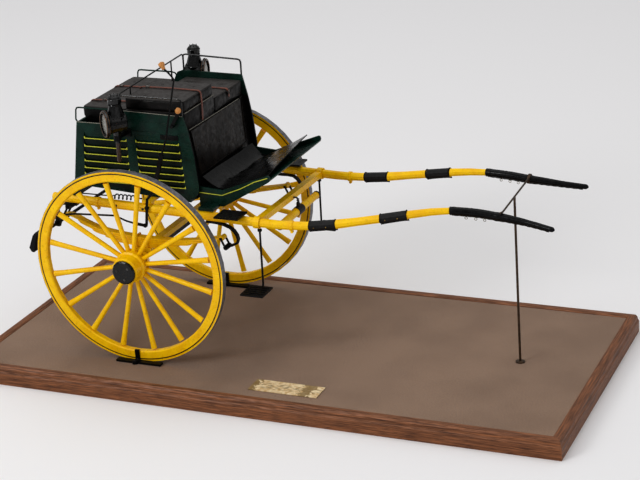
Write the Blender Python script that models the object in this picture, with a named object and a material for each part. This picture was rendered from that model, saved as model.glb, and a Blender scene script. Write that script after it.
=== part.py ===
"""Model of a two-wheeled tandem cart on its display board, at its real size in metres.

+X points to the shaft tips, +Z is up, and the origin is the middle of the board's underside.
The cart is built round the point on the board's cloth that lies under the middle of its axle.
"Near" is the -Y side and "far" is the +Y side.
"""
import math

import bmesh
import bpy
from mathutils import Matrix, Vector

MM = 0.001
CLEARANCE = 0.3 * MM
NEAR = -1
FAR = 1
SIDES = (("near", NEAR), ("far", FAR))

# Display board
BOARD_LENGTH = 736 * MM
BOARD_DEPTH = 356 * MM
BOARD_TOP = 21 * MM
MOULDING_WIDTH = 12.5 * MM
MOULDING_HEIGHT = 23 * MM
CART_X = -163 * MM
CART_Y = 17.5 * MM
PLAQUE_X = 199 * MM
PLAQUE_TO_EDGE = 42.5 * MM
PLAQUE_CENTRE = (PLAQUE_X, PLAQUE_TO_EDGE - BOARD_DEPTH / 2 - CART_Y)
PLAQUE_LENGTH = 84 * MM
PLAQUE_WIDTH = 28 * MM
PLAQUE_THICKNESS = 0.8 * MM
PLAQUE_PIN_RADIUS = 1.1 * MM
PLAQUE_PIN_INSET = 3.2 * MM
PLAQUE_PIN_HEIGHT = 0.6 * MM

# Widths that the others follow, counted from the cart's middle
BODY_HALF_WIDTH = 83.5 * MM
SPRING_OUT = 10.5 * MM
WHEEL_OUT = 37.7 * MM
SPRING_HALF_GAUGE = BODY_HALF_WIDTH + SPRING_OUT
HALF_TRACK = SPRING_HALF_GAUGE + WHEEL_OUT

# Wheels: distances along the axle count outwards from the middle of the felloe
WHEEL_RADIUS = 120 * MM
TYRE_THICKNESS = 2 * MM
FELLOE_DEPTH = 10.7 * MM
FELLOE_CHAMFER = 1.3 * MM
RIM_WIDTH = 8.5 * MM
CAMBER = math.radians(2.89)
WHEEL_PHASE = math.radians(0.6)
SPOKE_COUNT = 16
SPOKE_FOOT_WIDTH = 5.8 * MM
SPOKE_TIP_WIDTH = 7.3 * MM
SPOKE_FOOT_THICKNESS = 6.5 * MM
SPOKE_TIP_THICKNESS = 5.6 * MM
SPOKE_RING_RADIUS = 17.5 * MM
SPOKE_RING_BORE = 12 * MM
SPOKE_RING_WIDTH = 8 * MM
DISH = 6 * MM
NAVE_BACK = -24 * MM
NAVE_BACK_RADIUS = 13 * MM
NAVE_FLANGE_RADIUS = 19 * MM
NAVE_NOSE_RADIUS = 16.5 * MM
NAVE_NOSE = 15.7 * MM
AXLE_ARM_RADIUS = 5 * MM
AXLE_ARM_TIP_RADIUS = 4.5 * MM
AXLE_ARM_END = 10.5 * MM
HUB_CAP_RADIUS = 14.5 * MM
HUB_CAP_THICKNESS = 2.7 * MM
HUB_CAP_SPIGOT_RADIUS = 9.7 * MM
HUB_CAP_SPIGOT = 4 * MM

# Axle, axle bed and springs
AXLE_BAR = 6 * MM
AXLE_COLLAR_RADIUS = 8 * MM
AXLE_COLLAR_WIDTH = 3 * MM
BED_WIDTH = 9 * MM
BED_HEIGHT = 6 * MM
SPRING_WIDTH = 10 * MM
LEAF_COUNT = 5
LEAF_THICKNESS = 2.4 * MM
SPRING_TOP = ((-101.5, 164.8), (-96, 165.6), (-88, 163.5), (-75, 157.8), (-59, 152.0), (-46, 149.3),
              (-33, 147.5), (-15, 145.7), (0, 144.9), (14, 144.7), (30, 145.0), (56, 146.6),
              (75, 149.2), (92, 152.4), (102, 154.4))
LEAF_REAR_REACH = (101.5, 84, 66, 50, 34)
LEAF_FRONT_REACH = (102, 80, 62, 46, 30)
SPRING_EYE_RADIUS = 3 * MM
SPRING_PIN_RADIUS = 1.2 * MM
REAR_EYE_DROP = 3.2 * MM
U_BOLT_RADIUS = 0.9 * MM
U_BOLT_SPACING = 7 * MM
PAD_LENGTH = 24 * MM

# Shafts: x, distance outwards from the spring's middle, height of the centreline, radius, in millimetres
SHAFT_PATH = ((-115, 0, 184.6, 5.2), (-87, 0, 184.2, 5.4), (-57, 0, 182.6, 5.5),
              (-20, 0, 181.4, 5.5), (20, 0.2, 180.4, 5.5), (60, 0.9, 179.4, 5.5),
              (96, 1.4, 178.3, 5.5), (125, 1.6, 177.2, 5.5), (149, 1.4, 176.2, 5.4),
              (172, -0.3, 175.0, 5.3), (190, -2.3, 174.7, 5.2), (210, -4.8, 175.4, 5.0),
              (241, -8.8, 178.8, 4.9), (267, -11.6, 183.4, 4.9), (293, -14.4, 188.2, 4.9),
              (323.5, -18.6, 194.0, 4.8), (350, -23.2, 198.3, 4.3), (372, -26.4, 200.4, 3.8),
              (400, -28.7, 199.8, 3.9), (426, -29.3, 197.6, 3.6), (443, -28.1, 195.9, 3.2),
              (460, -26.4, 194.0, 2.6), (488, -21.4, 190.8, 2.2))
FAR_SHAFT_SAG = ((-115, 0), (20, 0), (60, 1.4), (96, 3.4), (125, 4.4), (149, 4.0), (172, 3.0), (190, 2.0),
                 (210, 1.0), (241, 0), (488, 0))
SHAFT_WOOD_END = 370 * MM
SLEEVE_SPANS = ((210.4, 241.5), (292.7, 323.5))
SLEEVE_THICKNESS = 0.7 * MM
SHEATH_WALL = 1 * MM
SHEATH_END = 491 * MM
SHAFT_BAND_SPANS = ((-58, -54), (188, 191.5))
CROSSBAR_X = 149 * MM
CROSSBAR_WIDTH = 8 * MM
CROSSBAR_HEIGHT = 7 * MM
CROSSBAR_BAND = 7 * MM
CROSSBAR_BAND_WALL = 1 * MM
SWINGLETREE_X = 158.5 * MM
SWINGLETREE_Z = 158.5 * MM
SWINGLETREE_HALF = 58 * MM
SWINGLETREE_RADIUS = 4.8 * MM
SWINGLETREE_SLEEVE_HALF = 8 * MM
SWINGLETREE_SLEEVE_RADIUS = 5.7 * MM
SWINGLETREE_CAP = 4 * MM
SWINGLETREE_EYE_RADIUS = 2.4 * MM
SWINGLETREE_EYE_BORE = 1.3 * MM
HOOK_RADIUS = 0.9 * MM

# Irons under the shafts
FRONT_HANGER_WIDTH = 5 * MM
FRONT_HANGER_THICKNESS = 2.4 * MM
SHACKLE_THICKNESS = 1.4 * MM
SHACKLE_ROLLER_RADIUS = 3 * MM
REAR_PLATE_THICKNESS = 2.4 * MM
REAR_HANGER_X = -112 * MM
REAR_HANGER_FOOT_Z = 153 * MM
STEP_PLATE_X = {NEAR: (104 * MM, 134 * MM), FAR: (96.5 * MM, 124.5 * MM)}
STEP_PLATE_IN = 5 * MM
STEP_PLATE_OUT = {NEAR: 22 * MM, FAR: 19.5 * MM}
STEP_PLATE_THICKNESS = 2 * MM
STEP_ROD_X = {NEAR: 151.2 * MM, FAR: 146.8 * MM}
STEP_ROD_RADIUS = 1.2 * MM
TREAD_Z = 99 * MM
TREAD_X = (136 * MM, 164 * MM)
TREAD_Y = (SPRING_HALF_GAUGE + 3 * MM, SPRING_HALF_GAUGE + 33 * MM)
TREAD_THICKNESS = 2 * MM
TREAD_SLATS = 5
TREAD_SLAT_GAP = 2.2 * MM

# Body: heights count from the board's cloth
SIDE_THICKNESS = 2.5 * MM
BODY_OUTLINE = ((-91, 203), (60, 192.8), (67.5, 195.5), (71.5, 201.5), (72.3, 209), (68.4, 245), (63.8, 270))
BODY_TOP = {NEAR: ((-23, 293.7), (57.5, 291.5)), FAR: ((-22, 296.8), (57.5, 295.8))}
BODY_REAR_CURVE = ((-29, 2.6), (-32.5, 8.8), (-35, 15.6))
BODY_REAR_EDGE = ((-40, 276), (-81.2, 276))
BODY_TAIL = (-91 * MM, 203 * MM)
BODY_TAIL_TOP = (-81.2 * MM, 276 * MM)
FLOOR_SLOPE = -11.0 / 162.0
FLOOR_THICKNESS = 3 * MM
PANEL_THICKNESS = 2.5 * MM
REAR_SILL_X = (-88 * MM, -79 * MM)
SILL_HALF_LENGTH = SPRING_HALF_GAUGE + 4 * MM
UNDER_SILL_X = (-70 * MM, 60 * MM)
UNDER_SILL_HEIGHT = 4.5 * MM
UNDER_SILL_HALF = BODY_HALF_WIDTH - 1 * MM
BEARER_POSTS_X = (5 * MM, 14 * MM)
BEARER_POST_WIDTH = 3.6 * MM
BEARER_HEIGHT = 3 * MM
BEARER_REACH = (SPRING_HALF_GAUGE - 4 * MM, SPRING_HALF_GAUGE + 2.5 * MM)
OUTRIGGER_X = (76 * MM, 95 * MM)
OUTRIGGER_REACH = SPRING_HALF_GAUGE + 3 * MM
OUTRIGGER_TOP = 188.2 * MM
LOUVRE_TOP = 257 * MM
LOUVRE_FIRST_PITCH = 9.8 * MM
LOUVRE_PITCH_LOSS = 0.45 * MM
LOUVRE_COUNT = 7
LOUVRE_LEDGE = 0.3 * MM
LOUVRE_LIP = 0.9 * MM
LOUVRE_DEPTH = 2 * MM
REAR_LOUVRE_X = ((-73, -17), (-77, -15.5))
FRONT_LOUVRE_X = ((-5.5, 50.7), (-3, 55.4))
SEAT_TOP = 271 * MM
SEAT_THICKNESS = 2 * MM
SEAT_X = (-76.5 * MM, 58.4 * MM)
FRONT_PANEL_TOP_X = 58.4 * MM
FRONT_PANEL_FOOT_X = 67.6 * MM
APRON_TOP = (60.1 * MM, BODY_HALF_WIDTH - 13.1 * MM, 270.8 * MM)
APRON_FOOT = (66.7 * MM, BODY_HALF_WIDTH - 18.7 * MM, 216.1 * MM)
APRON_THICKNESS = 1.2 * MM
FOOTBOARD_OUTLINE = ((69.6, 184), (100, 185), (155.5, 217.4), (158.6, 219.6), (159.6, 222.6), (158.6, 226.2),
                     (156, 226.4), (98.5, 204.3), (69.6, 206.8))
FOOTBOARD_FLOOR = ((66, 200), (98, 197.6), (160, 221.8))
FOOTBOARD_HALF_WIDTH = BODY_HALF_WIDTH - 5 * MM
FOOTBOARD_CHEEK = 2.5 * MM
TAILBOARD_HINGE = (-91.2 * MM, 204 * MM)

# Seats and leather
REAR_CUSHION_X = (-82.5 * MM, -24.2 * MM)
REAR_CUSHION_HALF = BODY_HALF_WIDTH - 18.5 * MM
REAR_CUSHION_TOP = 290 * MM
REAR_CUSHION_HEEL = (-77.2 * MM, 276.9 * MM)
FRONT_SEAT_X = (-17.6 * MM, 58.5 * MM)
RISER_TOP = 294 * MM
DRIVER_TOP = 308 * MM
PASSENGER_TOP = 289.5 * MM
FRONT_SEAT_HALF = BODY_HALF_WIDTH - 3.5 * MM
CUSHION_CROWN = 1 * MM
MAT_THICKNESS = 1.2 * MM
MAT_HEEL_X = 70.5 * MM
MAT_HALF_WIDTH = FOOTBOARD_HALF_WIDTH - 8.5 * MM
RAIL_RADIUS = 1 * MM
BACK_RAIL = {NEAR: (-22.5 * MM, 313.2 * MM), FAR: (-20.5 * MM, 317.3 * MM)}
ARM_RAIL_Z = {NEAR: (311.5 * MM, 311.5 * MM), FAR: (317 * MM, 314.6 * MM)}
ARM_RAIL_X = 57 * MM
RAIL_HALF_WIDTH = BODY_HALF_WIDTH - 1.2 * MM
RAIL_POST_Y = (-55 * MM, 50 * MM)
REAR_RAIL = ((-80, 275), (-82.3, 279), (-81.2, 290.5), (-79.8, 292.9), (-77, 293.5), (-38, 293.5), (-33, 292.5),
             (-30, 288.5))
FAR_REAR_RAIL_SHIFT = -3.5

# Lamps: heights count from the board's cloth
LAMP_X = {"near": -15.8 * MM, "far": -17.3 * MM}
LAMP_Y = BODY_HALF_WIDTH + 22.5 * MM
LAMP_FACING = {"near": math.radians(225), "far": math.radians(11.5)}
DRUM_Z = {"near": 286.4 * MM, "far": 289 * MM}
DRUM_PROFILE = ((0, -11.3), (9.2, -11.3), (10.7, -10), (11.2, 0), (12, 9.5), (14.6, 11), (15.9, 11.4),
                (15.9, 14.4), (15.2, 15), (0, 15))
WELL_PROFILE = ((0, 7.6), (8.5, 8), (12.9, 12.2), (13.3, 12.3), (13.3, 16), (0, 16))
LENS_PROFILE = ((0, 12.6), (13, 12.6), (13, 13.4), (8, 14.3), (0, 14.6))
CHIMNEY_PROFILE = ((0, 2), (10.8, 4), (10.8, 8), (6.9, 21), (6.9, 22.6), (8, 23.6), (8, 28.4), (6.9, 31),
                   (4, 33.2), (0, 34))
DRUM_FOOT = 10.6 * MM
CANDLE_RADIUS = 2.8 * MM
CANDLE_FOOT = 239 * MM
LAMP_SOCKET_Z = (265 * MM, 271 * MM)
LAMP_SOCKET_WALL = 1.6 * MM

# Hand lever, brake and catch
LEVER_PIVOT = (11.8 * MM, 183.4 * MM)
LEVER_PIN_RADIUS = 1.1 * MM
LEVER_PLANE = SPRING_HALF_GAUGE + 7.6 * MM
LEVER_FOOT_DROP = 20.4 * MM
LEVER_FOOT_X = 9.8 * MM
LEVER_PATH = ((9.8, 163.0), (10.7, 172.0), (11.8, 183.4), (13.2, 194.0), (19.5, 201.0), (26.8, 217.5))
LEVER_BLADE = ((26.4, 216.5), (36.8, 250.5))
LEVER_ROD_PATH = ((36.4, 249.5), (43.5, 268.0), (51.3, 302.0), (60.2, 341.0), (54.0, 348.0), (48.7, 352.5))
LEVER_KNOB = (46.8, 356.0)
LEVER_KNOB_RADIUS = 3.8 * MM
LEVER_KNOB_LENGTH = 9.5 * MM
LEVER_THICKNESS = 2.2 * MM
BLADE_WIDTH = 5 * MM
CATCH_PIVOT = (45.5 * MM, 280.5 * MM)
CATCH_KNOB = (58.1 * MM, 301.8 * MM)
CATCH_KNOB_RADIUS = 3.7 * MM
CATCH_BLADE_THICKNESS = 1.6 * MM
CATCH_PLANE = BODY_HALF_WIDTH + 4 * MM
ROD_RADIUS = 1.2 * MM
ROD_SLEEVE_RADIUS = 1.8 * MM
ROD_PIN_RADIUS = 0.9 * MM
BRAKE_ROD_KNOTS = ((-99, 166), (-83, 169), (-29.5, 171.6), (-14.7, 166.3), (-4.5, 164.3))
CRANK_HEIGHT = 11.5 * MM
BEAM_X = -113.5 * MM
BEAM_Z = 151.5 * MM
BEAM_RADIUS = 2 * MM
BEAM_HALF_LENGTH = SPRING_HALF_GAUGE + 18 * MM
BRAKE_SWING = math.radians(7)
BLOCK_WIDTH = 10 * MM
BLOCK_DEPTH = 6.5 * MM
BLOCK_Z = (127.5 * MM, 152.5 * MM)
BLOCK_PLAY = 0.8 * MM
COIL_TURNS = 5.5
COIL_RADIUS = 2.9 * MM
COIL_WIRE_RADIUS = 0.8 * MM
COIL_X = (-36 * MM, -7 * MM)
COIL_POINTS_PER_TURN = 8

# Wheel clips and prop
CLIP_X = (-26.5 * MM, 31.5 * MM)
CLIP_STRAP_X = -1.3 * MM
CLIP_FOOT_WIDTH = 8 * MM
CLIP_FOOT_THICKNESS = 2.5 * MM
CLIP_STRAP_WIDTH = 5.6 * MM
CLIP_STRAP_THICKNESS = 1.3 * MM
CLIP_LIP = 1.2 * MM
CLIP_BOLT_RADIUS = 3.8 * MM
CLIP_BOLT_OUT = 7.4 * MM
PROP_FOOT = (431.5 * MM, -9.9 * MM)
PROP_NEAR_X = 430 * MM
PROP_FAR_X = 423 * MM
PROP_JOINT = 0.44
PROP_RADIUS = 1.4 * MM
PROP_CROSS_RADIUS = 1.1 * MM
PROP_FOOT_RADIUS = 5.5 * MM
PROP_RING_WALL = 0.9 * MM
PROP_RING_WIDTH = 3.2 * MM

HUB_Z = WHEEL_RADIUS * math.cos(CAMBER) + RIM_WIDTH / 2 * math.sin(CAMBER) + CLEARANCE
RIM_INNER = WHEEL_RADIUS - TYRE_THICKNESS - CLEARANCE - FELLOE_DEPTH
SPOKE_PLANE = -DISH
PALETTE = {
    "yellow_enamel": ("E8B90A", 0.32, 0.0),
    "green_enamel": ("16302A", 0.3, 0.0),
    "black_iron": ("161718", 0.42, 0.6),
    "tyre_iron": ("77767A", 0.45, 0.8),
    "black_leather": ("211D1C", 0.55, 0.0),
    "black_enamel": ("121315", 0.3, 0.0),
    "boxwood": ("C98B4E", 0.45, 0.0),
    "brass": ("A9823E", 0.35, 1.0),
    "bronze": ("5A4636", 0.45, 0.8),
    "mahogany": ("57281C", 0.35, 0.0),
    "taupe_cloth": ("6A5548", 0.9, 0.0),
    "lamp_glass": ("B9C2C4", 0.05, 0.0),
}


# Small helpers

def mm(*values):
    """A vector given in millimetres."""
    return Vector(values) * MM


def linear(channel):
    return channel / 12.92 if channel <= 0.04045 else ((channel + 0.055) / 1.055) ** 2.4


def material(name):
    """The named finish as a Principled material, made once."""
    found = bpy.data.materials.get(name)
    if found:
        return found
    code, roughness, metallic = PALETTE[name]
    made = bpy.data.materials.new(name)
    made.use_nodes = True
    shader = made.node_tree.nodes["Principled BSDF"]
    colour = [linear(int(code[i:i + 2], 16) / 255) for i in (0, 2, 4)]
    shader.inputs["Base Color"].default_value = (*colour, 1)
    shader.inputs["Roughness"].default_value = roughness
    shader.inputs["Metallic"].default_value = metallic
    return made


def link(name, mesh):
    piece = bpy.data.objects.new(name, mesh)
    bpy.context.scene.collection.objects.link(piece)
    return piece


def from_bmesh(name, form):
    """Turn a bmesh into an object, with its faces pointing out."""
    bmesh.ops.remove_doubles(form, verts=form.verts, dist=1e-6)
    bmesh.ops.recalc_face_normals(form, faces=form.faces)
    mesh = bpy.data.meshes.new(name)
    form.to_mesh(mesh)
    form.free()
    return link(name, mesh)


def finish(piece, finish_name, parent=None, origin=None, smooth=30):
    """Give a piece its finish, its parent and its own origin, with round faces shaded smooth."""
    if origin is not None:
        piece.data.transform(Matrix.Translation(-Vector(origin)))
        piece.location = origin
    piece.parent = parent
    piece.data.materials.clear()
    piece.data.materials.append(material(finish_name))
    piece.data.shade_smooth()
    piece.data.set_sharp_from_angle(angle=math.radians(smooth))
    return piece


def apply_boolean(target, tool, operation):
    """Combine two closed solids and use up the second."""
    step = target.modifiers.new("combine", "BOOLEAN")
    step.object = tool
    step.operation = operation
    step.solver = "EXACT"
    shown = target.evaluated_get(bpy.context.evaluated_depsgraph_get())
    combined = bpy.data.meshes.new_from_object(shown)
    target.modifiers.clear()
    used = target.data
    target.data = combined
    bpy.data.meshes.remove(used)
    bpy.data.objects.remove(tool)
    return target


def fuse(target, *tools):
    for tool in tools:
        apply_boolean(target, tool, "UNION")
    return target


def cut(target, *tools):
    for tool in tools:
        apply_boolean(target, tool, "DIFFERENCE")
    return target


def box(name, low, high):
    """A rectangular block between two corners."""
    form = bmesh.new()
    bmesh.ops.create_cube(form, size=1)
    low, high = Vector(low), Vector(high)
    middle = (low + high) / 2
    span = high - low
    for vert in form.verts:
        vert.co = Vector((vert.co[i] * span[i] + middle[i] for i in range(3)))
    return from_bmesh(name, form)


def prism(name, outline, start, end, axis="Y"):
    """An outline extruded between two heights; its points are (x, z) for Y, (x, y) for Z, (y, z) for X."""
    places = {"Y": lambda a, b, c: (a, c, b), "Z": lambda a, b, c: (a, b, c), "X": lambda a, b, c: (c, a, b)}
    place = places[axis]
    form = bmesh.new()
    face = form.faces.new([form.verts.new(place(a, b, start)) for a, b in outline])
    grown = bmesh.ops.extrude_face_region(form, geom=[face])
    moved = [item for item in grown["geom"] if isinstance(item, bmesh.types.BMVert)]
    bmesh.ops.translate(form, verts=moved, vec=Vector(place(0, 0, end - start)))
    return from_bmesh(name, form)


def turned(name, profile, steps, ring=False, axis="Z"):
    """A turned piece from (radius, height) points; a ring's profile closes on itself."""
    form = bmesh.new()
    verts = [form.verts.new((radius, 0, height)) for radius, height in profile]
    edges = [form.edges.new(pair) for pair in zip(verts, verts[1:])]
    if ring:
        edges.append(form.edges.new((verts[-1], verts[0])))
    bmesh.ops.spin(form, geom=verts + edges, cent=(0, 0, 0), axis=(0, 0, 1), dvec=(0, 0, 0),
                   angle=math.tau, steps=steps, use_merge=False, use_duplicate=False)
    piece = from_bmesh(name, form)
    if axis == "Y":
        piece.data.transform(Matrix.Rotation(-math.pi / 2, 4, "X"))
    if axis == "X":
        piece.data.transform(Matrix.Rotation(math.pi / 2, 4, "Y"))
    return piece


def loft(name, rings, closed=False):
    """Skin a row of equal rings, with flat caps unless the row closes on itself."""
    form = bmesh.new()
    rows = [[form.verts.new(point) for point in ring] for ring in rings]
    pairs = list(zip(rows, rows[1:]))
    if closed:
        pairs.append((rows[-1], rows[0]))
    else:
        form.faces.new(rows[0])
        form.faces.new(rows[-1])
    for first, second in pairs:
        count = len(first)
        for i in range(count):
            j = (i + 1) % count
            form.faces.new((first[i], first[j], second[j], second[i]))
    return from_bmesh(name, form)


def path_frames(points):
    """Tangent and two cross directions at each point, carried along without twist."""
    tangents = []
    for i in range(len(points)):
        before = points[max(i - 1, 0)]
        after = points[min(i + 1, len(points) - 1)]
        tangents.append((after - before).normalized())
    start = Vector((0, 0, 1)) if abs(tangents[0].z) < 0.9 else Vector((0, 1, 0))
    across = tangents[0].cross(start).normalized()
    frames = []
    for tangent in tangents:
        across = (across - tangent * across.dot(tangent)).normalized()
        frames.append((tangent, across, tangent.cross(across).normalized()))
    return frames


def ring_at(centre, across, upward, half_width, half_height, sides, turn=0.5):
    points = []
    for i in range(sides):
        angle = math.tau * (i + turn) / sides
        points.append(centre + across * (half_width * math.cos(angle)) + upward * (half_height * math.sin(angle)))
    return points


def bar(name, points, radius, sides=8, flat=1.0):
    """A round or flattened bar along a path; a list of radii makes it taper."""
    radii = radius if isinstance(radius, (list, tuple)) else [radius] * len(points)
    rings = [ring_at(point, across, upward, size, size * flat, sides)
             for point, size, (tangent, across, upward) in zip(points, radii, path_frames(points))]
    return loft(name, rings)


def smooth(points, steps):
    """Points on a smooth curve through the given ones."""
    padded = [points[0] * 2 - points[1], *points, points[-1] * 2 - points[-2]]
    curve = []
    for a, b, c, d in zip(padded, padded[1:], padded[2:], padded[3:]):
        for k in range(steps):
            t = k / steps
            curve.append(0.5 * (2 * b + (c - a) * t + (2 * a - 5 * b + 4 * c - d) * t * t
                                + (3 * b - a - 3 * c + d) * t ** 3))
    return curve + [points[-1]]


def between(table, x):
    """Read a table of rows at x, where the rows' first numbers rise."""
    for low, high in zip(table, table[1:]):
        if x <= high[0]:
            share = (x - low[0]) / (high[0] - low[0])
            return [a + (b - a) * share for a, b in zip(low, high)]
    return list(table[-1])


def empty(name, location, rotation, parent):
    holder = bpy.data.objects.new(name, None)
    bpy.context.scene.collection.objects.link(holder)
    holder.location = location
    holder.rotation_euler = rotation
    holder.parent = parent
    return holder


def shaft_at(x, side):
    """The shaft's centreline point and its radius at x."""
    row = between(SHAFT_PATH, x / MM)
    sag = between(FAR_SHAFT_SAG, x / MM)[1] if side == FAR else 0
    out = SPRING_HALF_GAUGE + row[1] * MM
    return Vector((x, side * out, (row[2] - sag) * MM)), row[3] * MM


def shaft_top(x, side=NEAR):
    centre, radius = shaft_at(x, side)
    return centre.z + radius


def body_top(x, side):
    """Height of a side board's straight upper edge."""
    return between(BODY_TOP[side], x / MM)[1] * MM


def body_bottom(x):
    return BODY_TAIL[1] + FLOOR_SLOPE * (x - BODY_TAIL[0])


# Display board

def make_base(root):
    length = BOARD_LENGTH / 2 - MOULDING_WIDTH - CLEARANCE
    depth = BOARD_DEPTH / 2 - MOULDING_WIDTH - CLEARANCE
    panel = box("base_panel", (-length, -depth, 0), (length, depth, BOARD_TOP))
    finish(panel, "taupe_cloth", root)
    height = MOULDING_HEIGHT
    width = MOULDING_WIDTH
    profile = ((0, 0), (0, height * 0.62), (width * 0.1, height * 0.72), (width * 0.14, height * 0.86),
               (width * 0.3, height), (width * 0.78, height), (width, BOARD_TOP + 0.5 * MM), (width, 0))
    rings = []
    for inset, level in profile:
        x = BOARD_LENGTH / 2 - inset
        y = BOARD_DEPTH / 2 - inset
        rings.append([Vector(corner) for corner in ((-x, -y, level), (x, -y, level), (x, y, level), (-x, y, level))])
    finish(loft("base_moulding", rings, closed=True), "mahogany", root)


def make_plaque(cart):
    x, y = PLAQUE_CENTRE
    low = (x - PLAQUE_LENGTH / 2, y - PLAQUE_WIDTH / 2, CLEARANCE)
    high = (x + PLAQUE_LENGTH / 2, y + PLAQUE_WIDTH / 2, CLEARANCE + PLAQUE_THICKNESS)
    plaque = box("plaque", low, high)
    for across in (-1, 1):
        for along in (-1, 1):
            pin = turned("pin", ((0, 0), (PLAQUE_PIN_RADIUS, 0), (PLAQUE_PIN_RADIUS, PLAQUE_PIN_HEIGHT),
                                 (0, PLAQUE_PIN_HEIGHT + 0.2 * MM)), 8)
            pin.data.transform(Matrix.Translation((x + along * (PLAQUE_LENGTH / 2 - PLAQUE_PIN_INSET),
                                                   y + across * (PLAQUE_WIDTH / 2 - PLAQUE_PIN_INSET),
                                                   high[2] - 0.1 * MM)))
            fuse(plaque, pin)
    finish(plaque, "brass", cart)


def make_wheel_clip(name, side, cart):
    """Foot bar on the board and a strap up the viewer's face of the felloe, with a lip over its inner edge."""
    lean = math.tan(CAMBER)
    contact = HALF_TRACK - HUB_Z * lean
    outward = -1
    face = side * contact + outward * (RIM_WIDTH / 2 / math.cos(CAMBER) + CLEARANCE)
    strap_top = HUB_Z - (RIM_INNER - CLEARANCE - CLIP_STRAP_THICKNESS) * math.cos(CAMBER)

    def face_at(z):
        return face + side * lean * z

    foot_low = CLEARANCE
    foot_high = CLEARANCE + CLIP_FOOT_THICKNESS
    near_edge = face_at(0) - CLIP_STRAP_THICKNESS * 0.2
    clip = box(name, (CLIP_X[0], near_edge - CLIP_FOOT_WIDTH, foot_low),
               (CLIP_X[1], near_edge - 0.8 * MM, foot_high))
    lip_level = HUB_Z - RIM_INNER * math.cos(CAMBER) + CLEARANCE + 0.5 * MM
    thick = CLIP_STRAP_THICKNESS
    outline = ((face_at(foot_low) - thick - 1.5 * MM, foot_low), (face_at(foot_low), foot_low),
               (face_at(lip_level), lip_level), (face_at(lip_level) + CLIP_LIP + CLEARANCE, lip_level),
               (face_at(strap_top) + CLIP_LIP + CLEARANCE, strap_top),
               (face_at(strap_top) - thick, strap_top), (face_at(foot_high) - thick, foot_high + 1 * MM))
    strap = prism("strap", outline, CLIP_STRAP_X - CLIP_STRAP_WIDTH / 2, CLIP_STRAP_X + CLIP_STRAP_WIDTH / 2, "X")
    bolt = turned("bolt", ((0, foot_low), (CLIP_BOLT_RADIUS, foot_low), (CLIP_BOLT_RADIUS, foot_high + 1.5 * MM),
                           (CLIP_BOLT_RADIUS * 0.6, foot_high + 2.6 * MM), (0, foot_high + 2.8 * MM)), 12)
    bolt.data.transform(Matrix.Translation((CLIP_STRAP_X, near_edge - CLIP_BOLT_OUT, 0)))
    finish(fuse(clip, strap, bolt), "black_iron", cart)


def make_prop(cart):
    """A post on the board whose cross bar lies on the near shaft and holds a ring round the far one."""
    foot = Vector((*PROP_FOOT, CLEARANCE))
    near_centre, near_radius = shaft_at(PROP_NEAR_X, NEAR)
    far_centre, far_radius = shaft_at(PROP_FAR_X, FAR)
    sheath = SHEATH_WALL
    rest_z = near_centre.z + near_radius + sheath + PROP_CROSS_RADIUS + CLEARANCE
    ring_outer = far_radius + sheath + CLEARANCE + PROP_RING_WALL
    near_end = Vector((PROP_NEAR_X, near_centre.y, rest_z))
    far_end = far_centre + Vector((0.6 * MM, -ring_outer + 0.5 * MM, 2.4 * MM))
    head = near_end.lerp(far_end, PROP_JOINT)
    post = bar("prop_stand", [foot, Vector((PROP_FOOT[0], PROP_FOOT[1], 3 * MM)), head], PROP_RADIUS, 8)
    flange = turned("flange", ((0, CLEARANCE), (PROP_FOOT_RADIUS, CLEARANCE), (PROP_FOOT_RADIUS, 1.4 * MM),
                               (PROP_FOOT_RADIUS * 0.55, 2.2 * MM), (0, 2.2 * MM)), 12)
    flange.data.transform(Matrix.Translation((foot.x, foot.y, 0)))
    tail = near_end + mm(-1.6, -4, 0.1)
    cross = bar("cross", [tail, near_end, near_end + mm(0, 3, 0.1), head, far_end], PROP_CROSS_RADIUS, 8)
    inner = far_radius + sheath + CLEARANCE
    band = turned("band", ((inner, -PROP_RING_WIDTH / 2), (ring_outer, -PROP_RING_WIDTH / 2),
                           (ring_outer, PROP_RING_WIDTH / 2), (inner, PROP_RING_WIDTH / 2)), 16, True, "X")
    before, _ = shaft_at(PROP_FAR_X - 5 * MM, FAR)
    after, _ = shaft_at(PROP_FAR_X + 5 * MM, FAR)
    turn = Vector((1, 0, 0)).rotation_difference(after - before).to_matrix().to_4x4()
    band.data.transform(Matrix.Translation(far_centre) @ turn)
    finish(fuse(post, flange, cross, band), "bronze", cart)


# Wheels

def wheel_axis(name, side, cart):
    turn = math.pi if side == NEAR else 0
    return empty(name, (0, side * HALF_TRACK, HUB_Z), (-CAMBER, 0, turn), cart)


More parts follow.
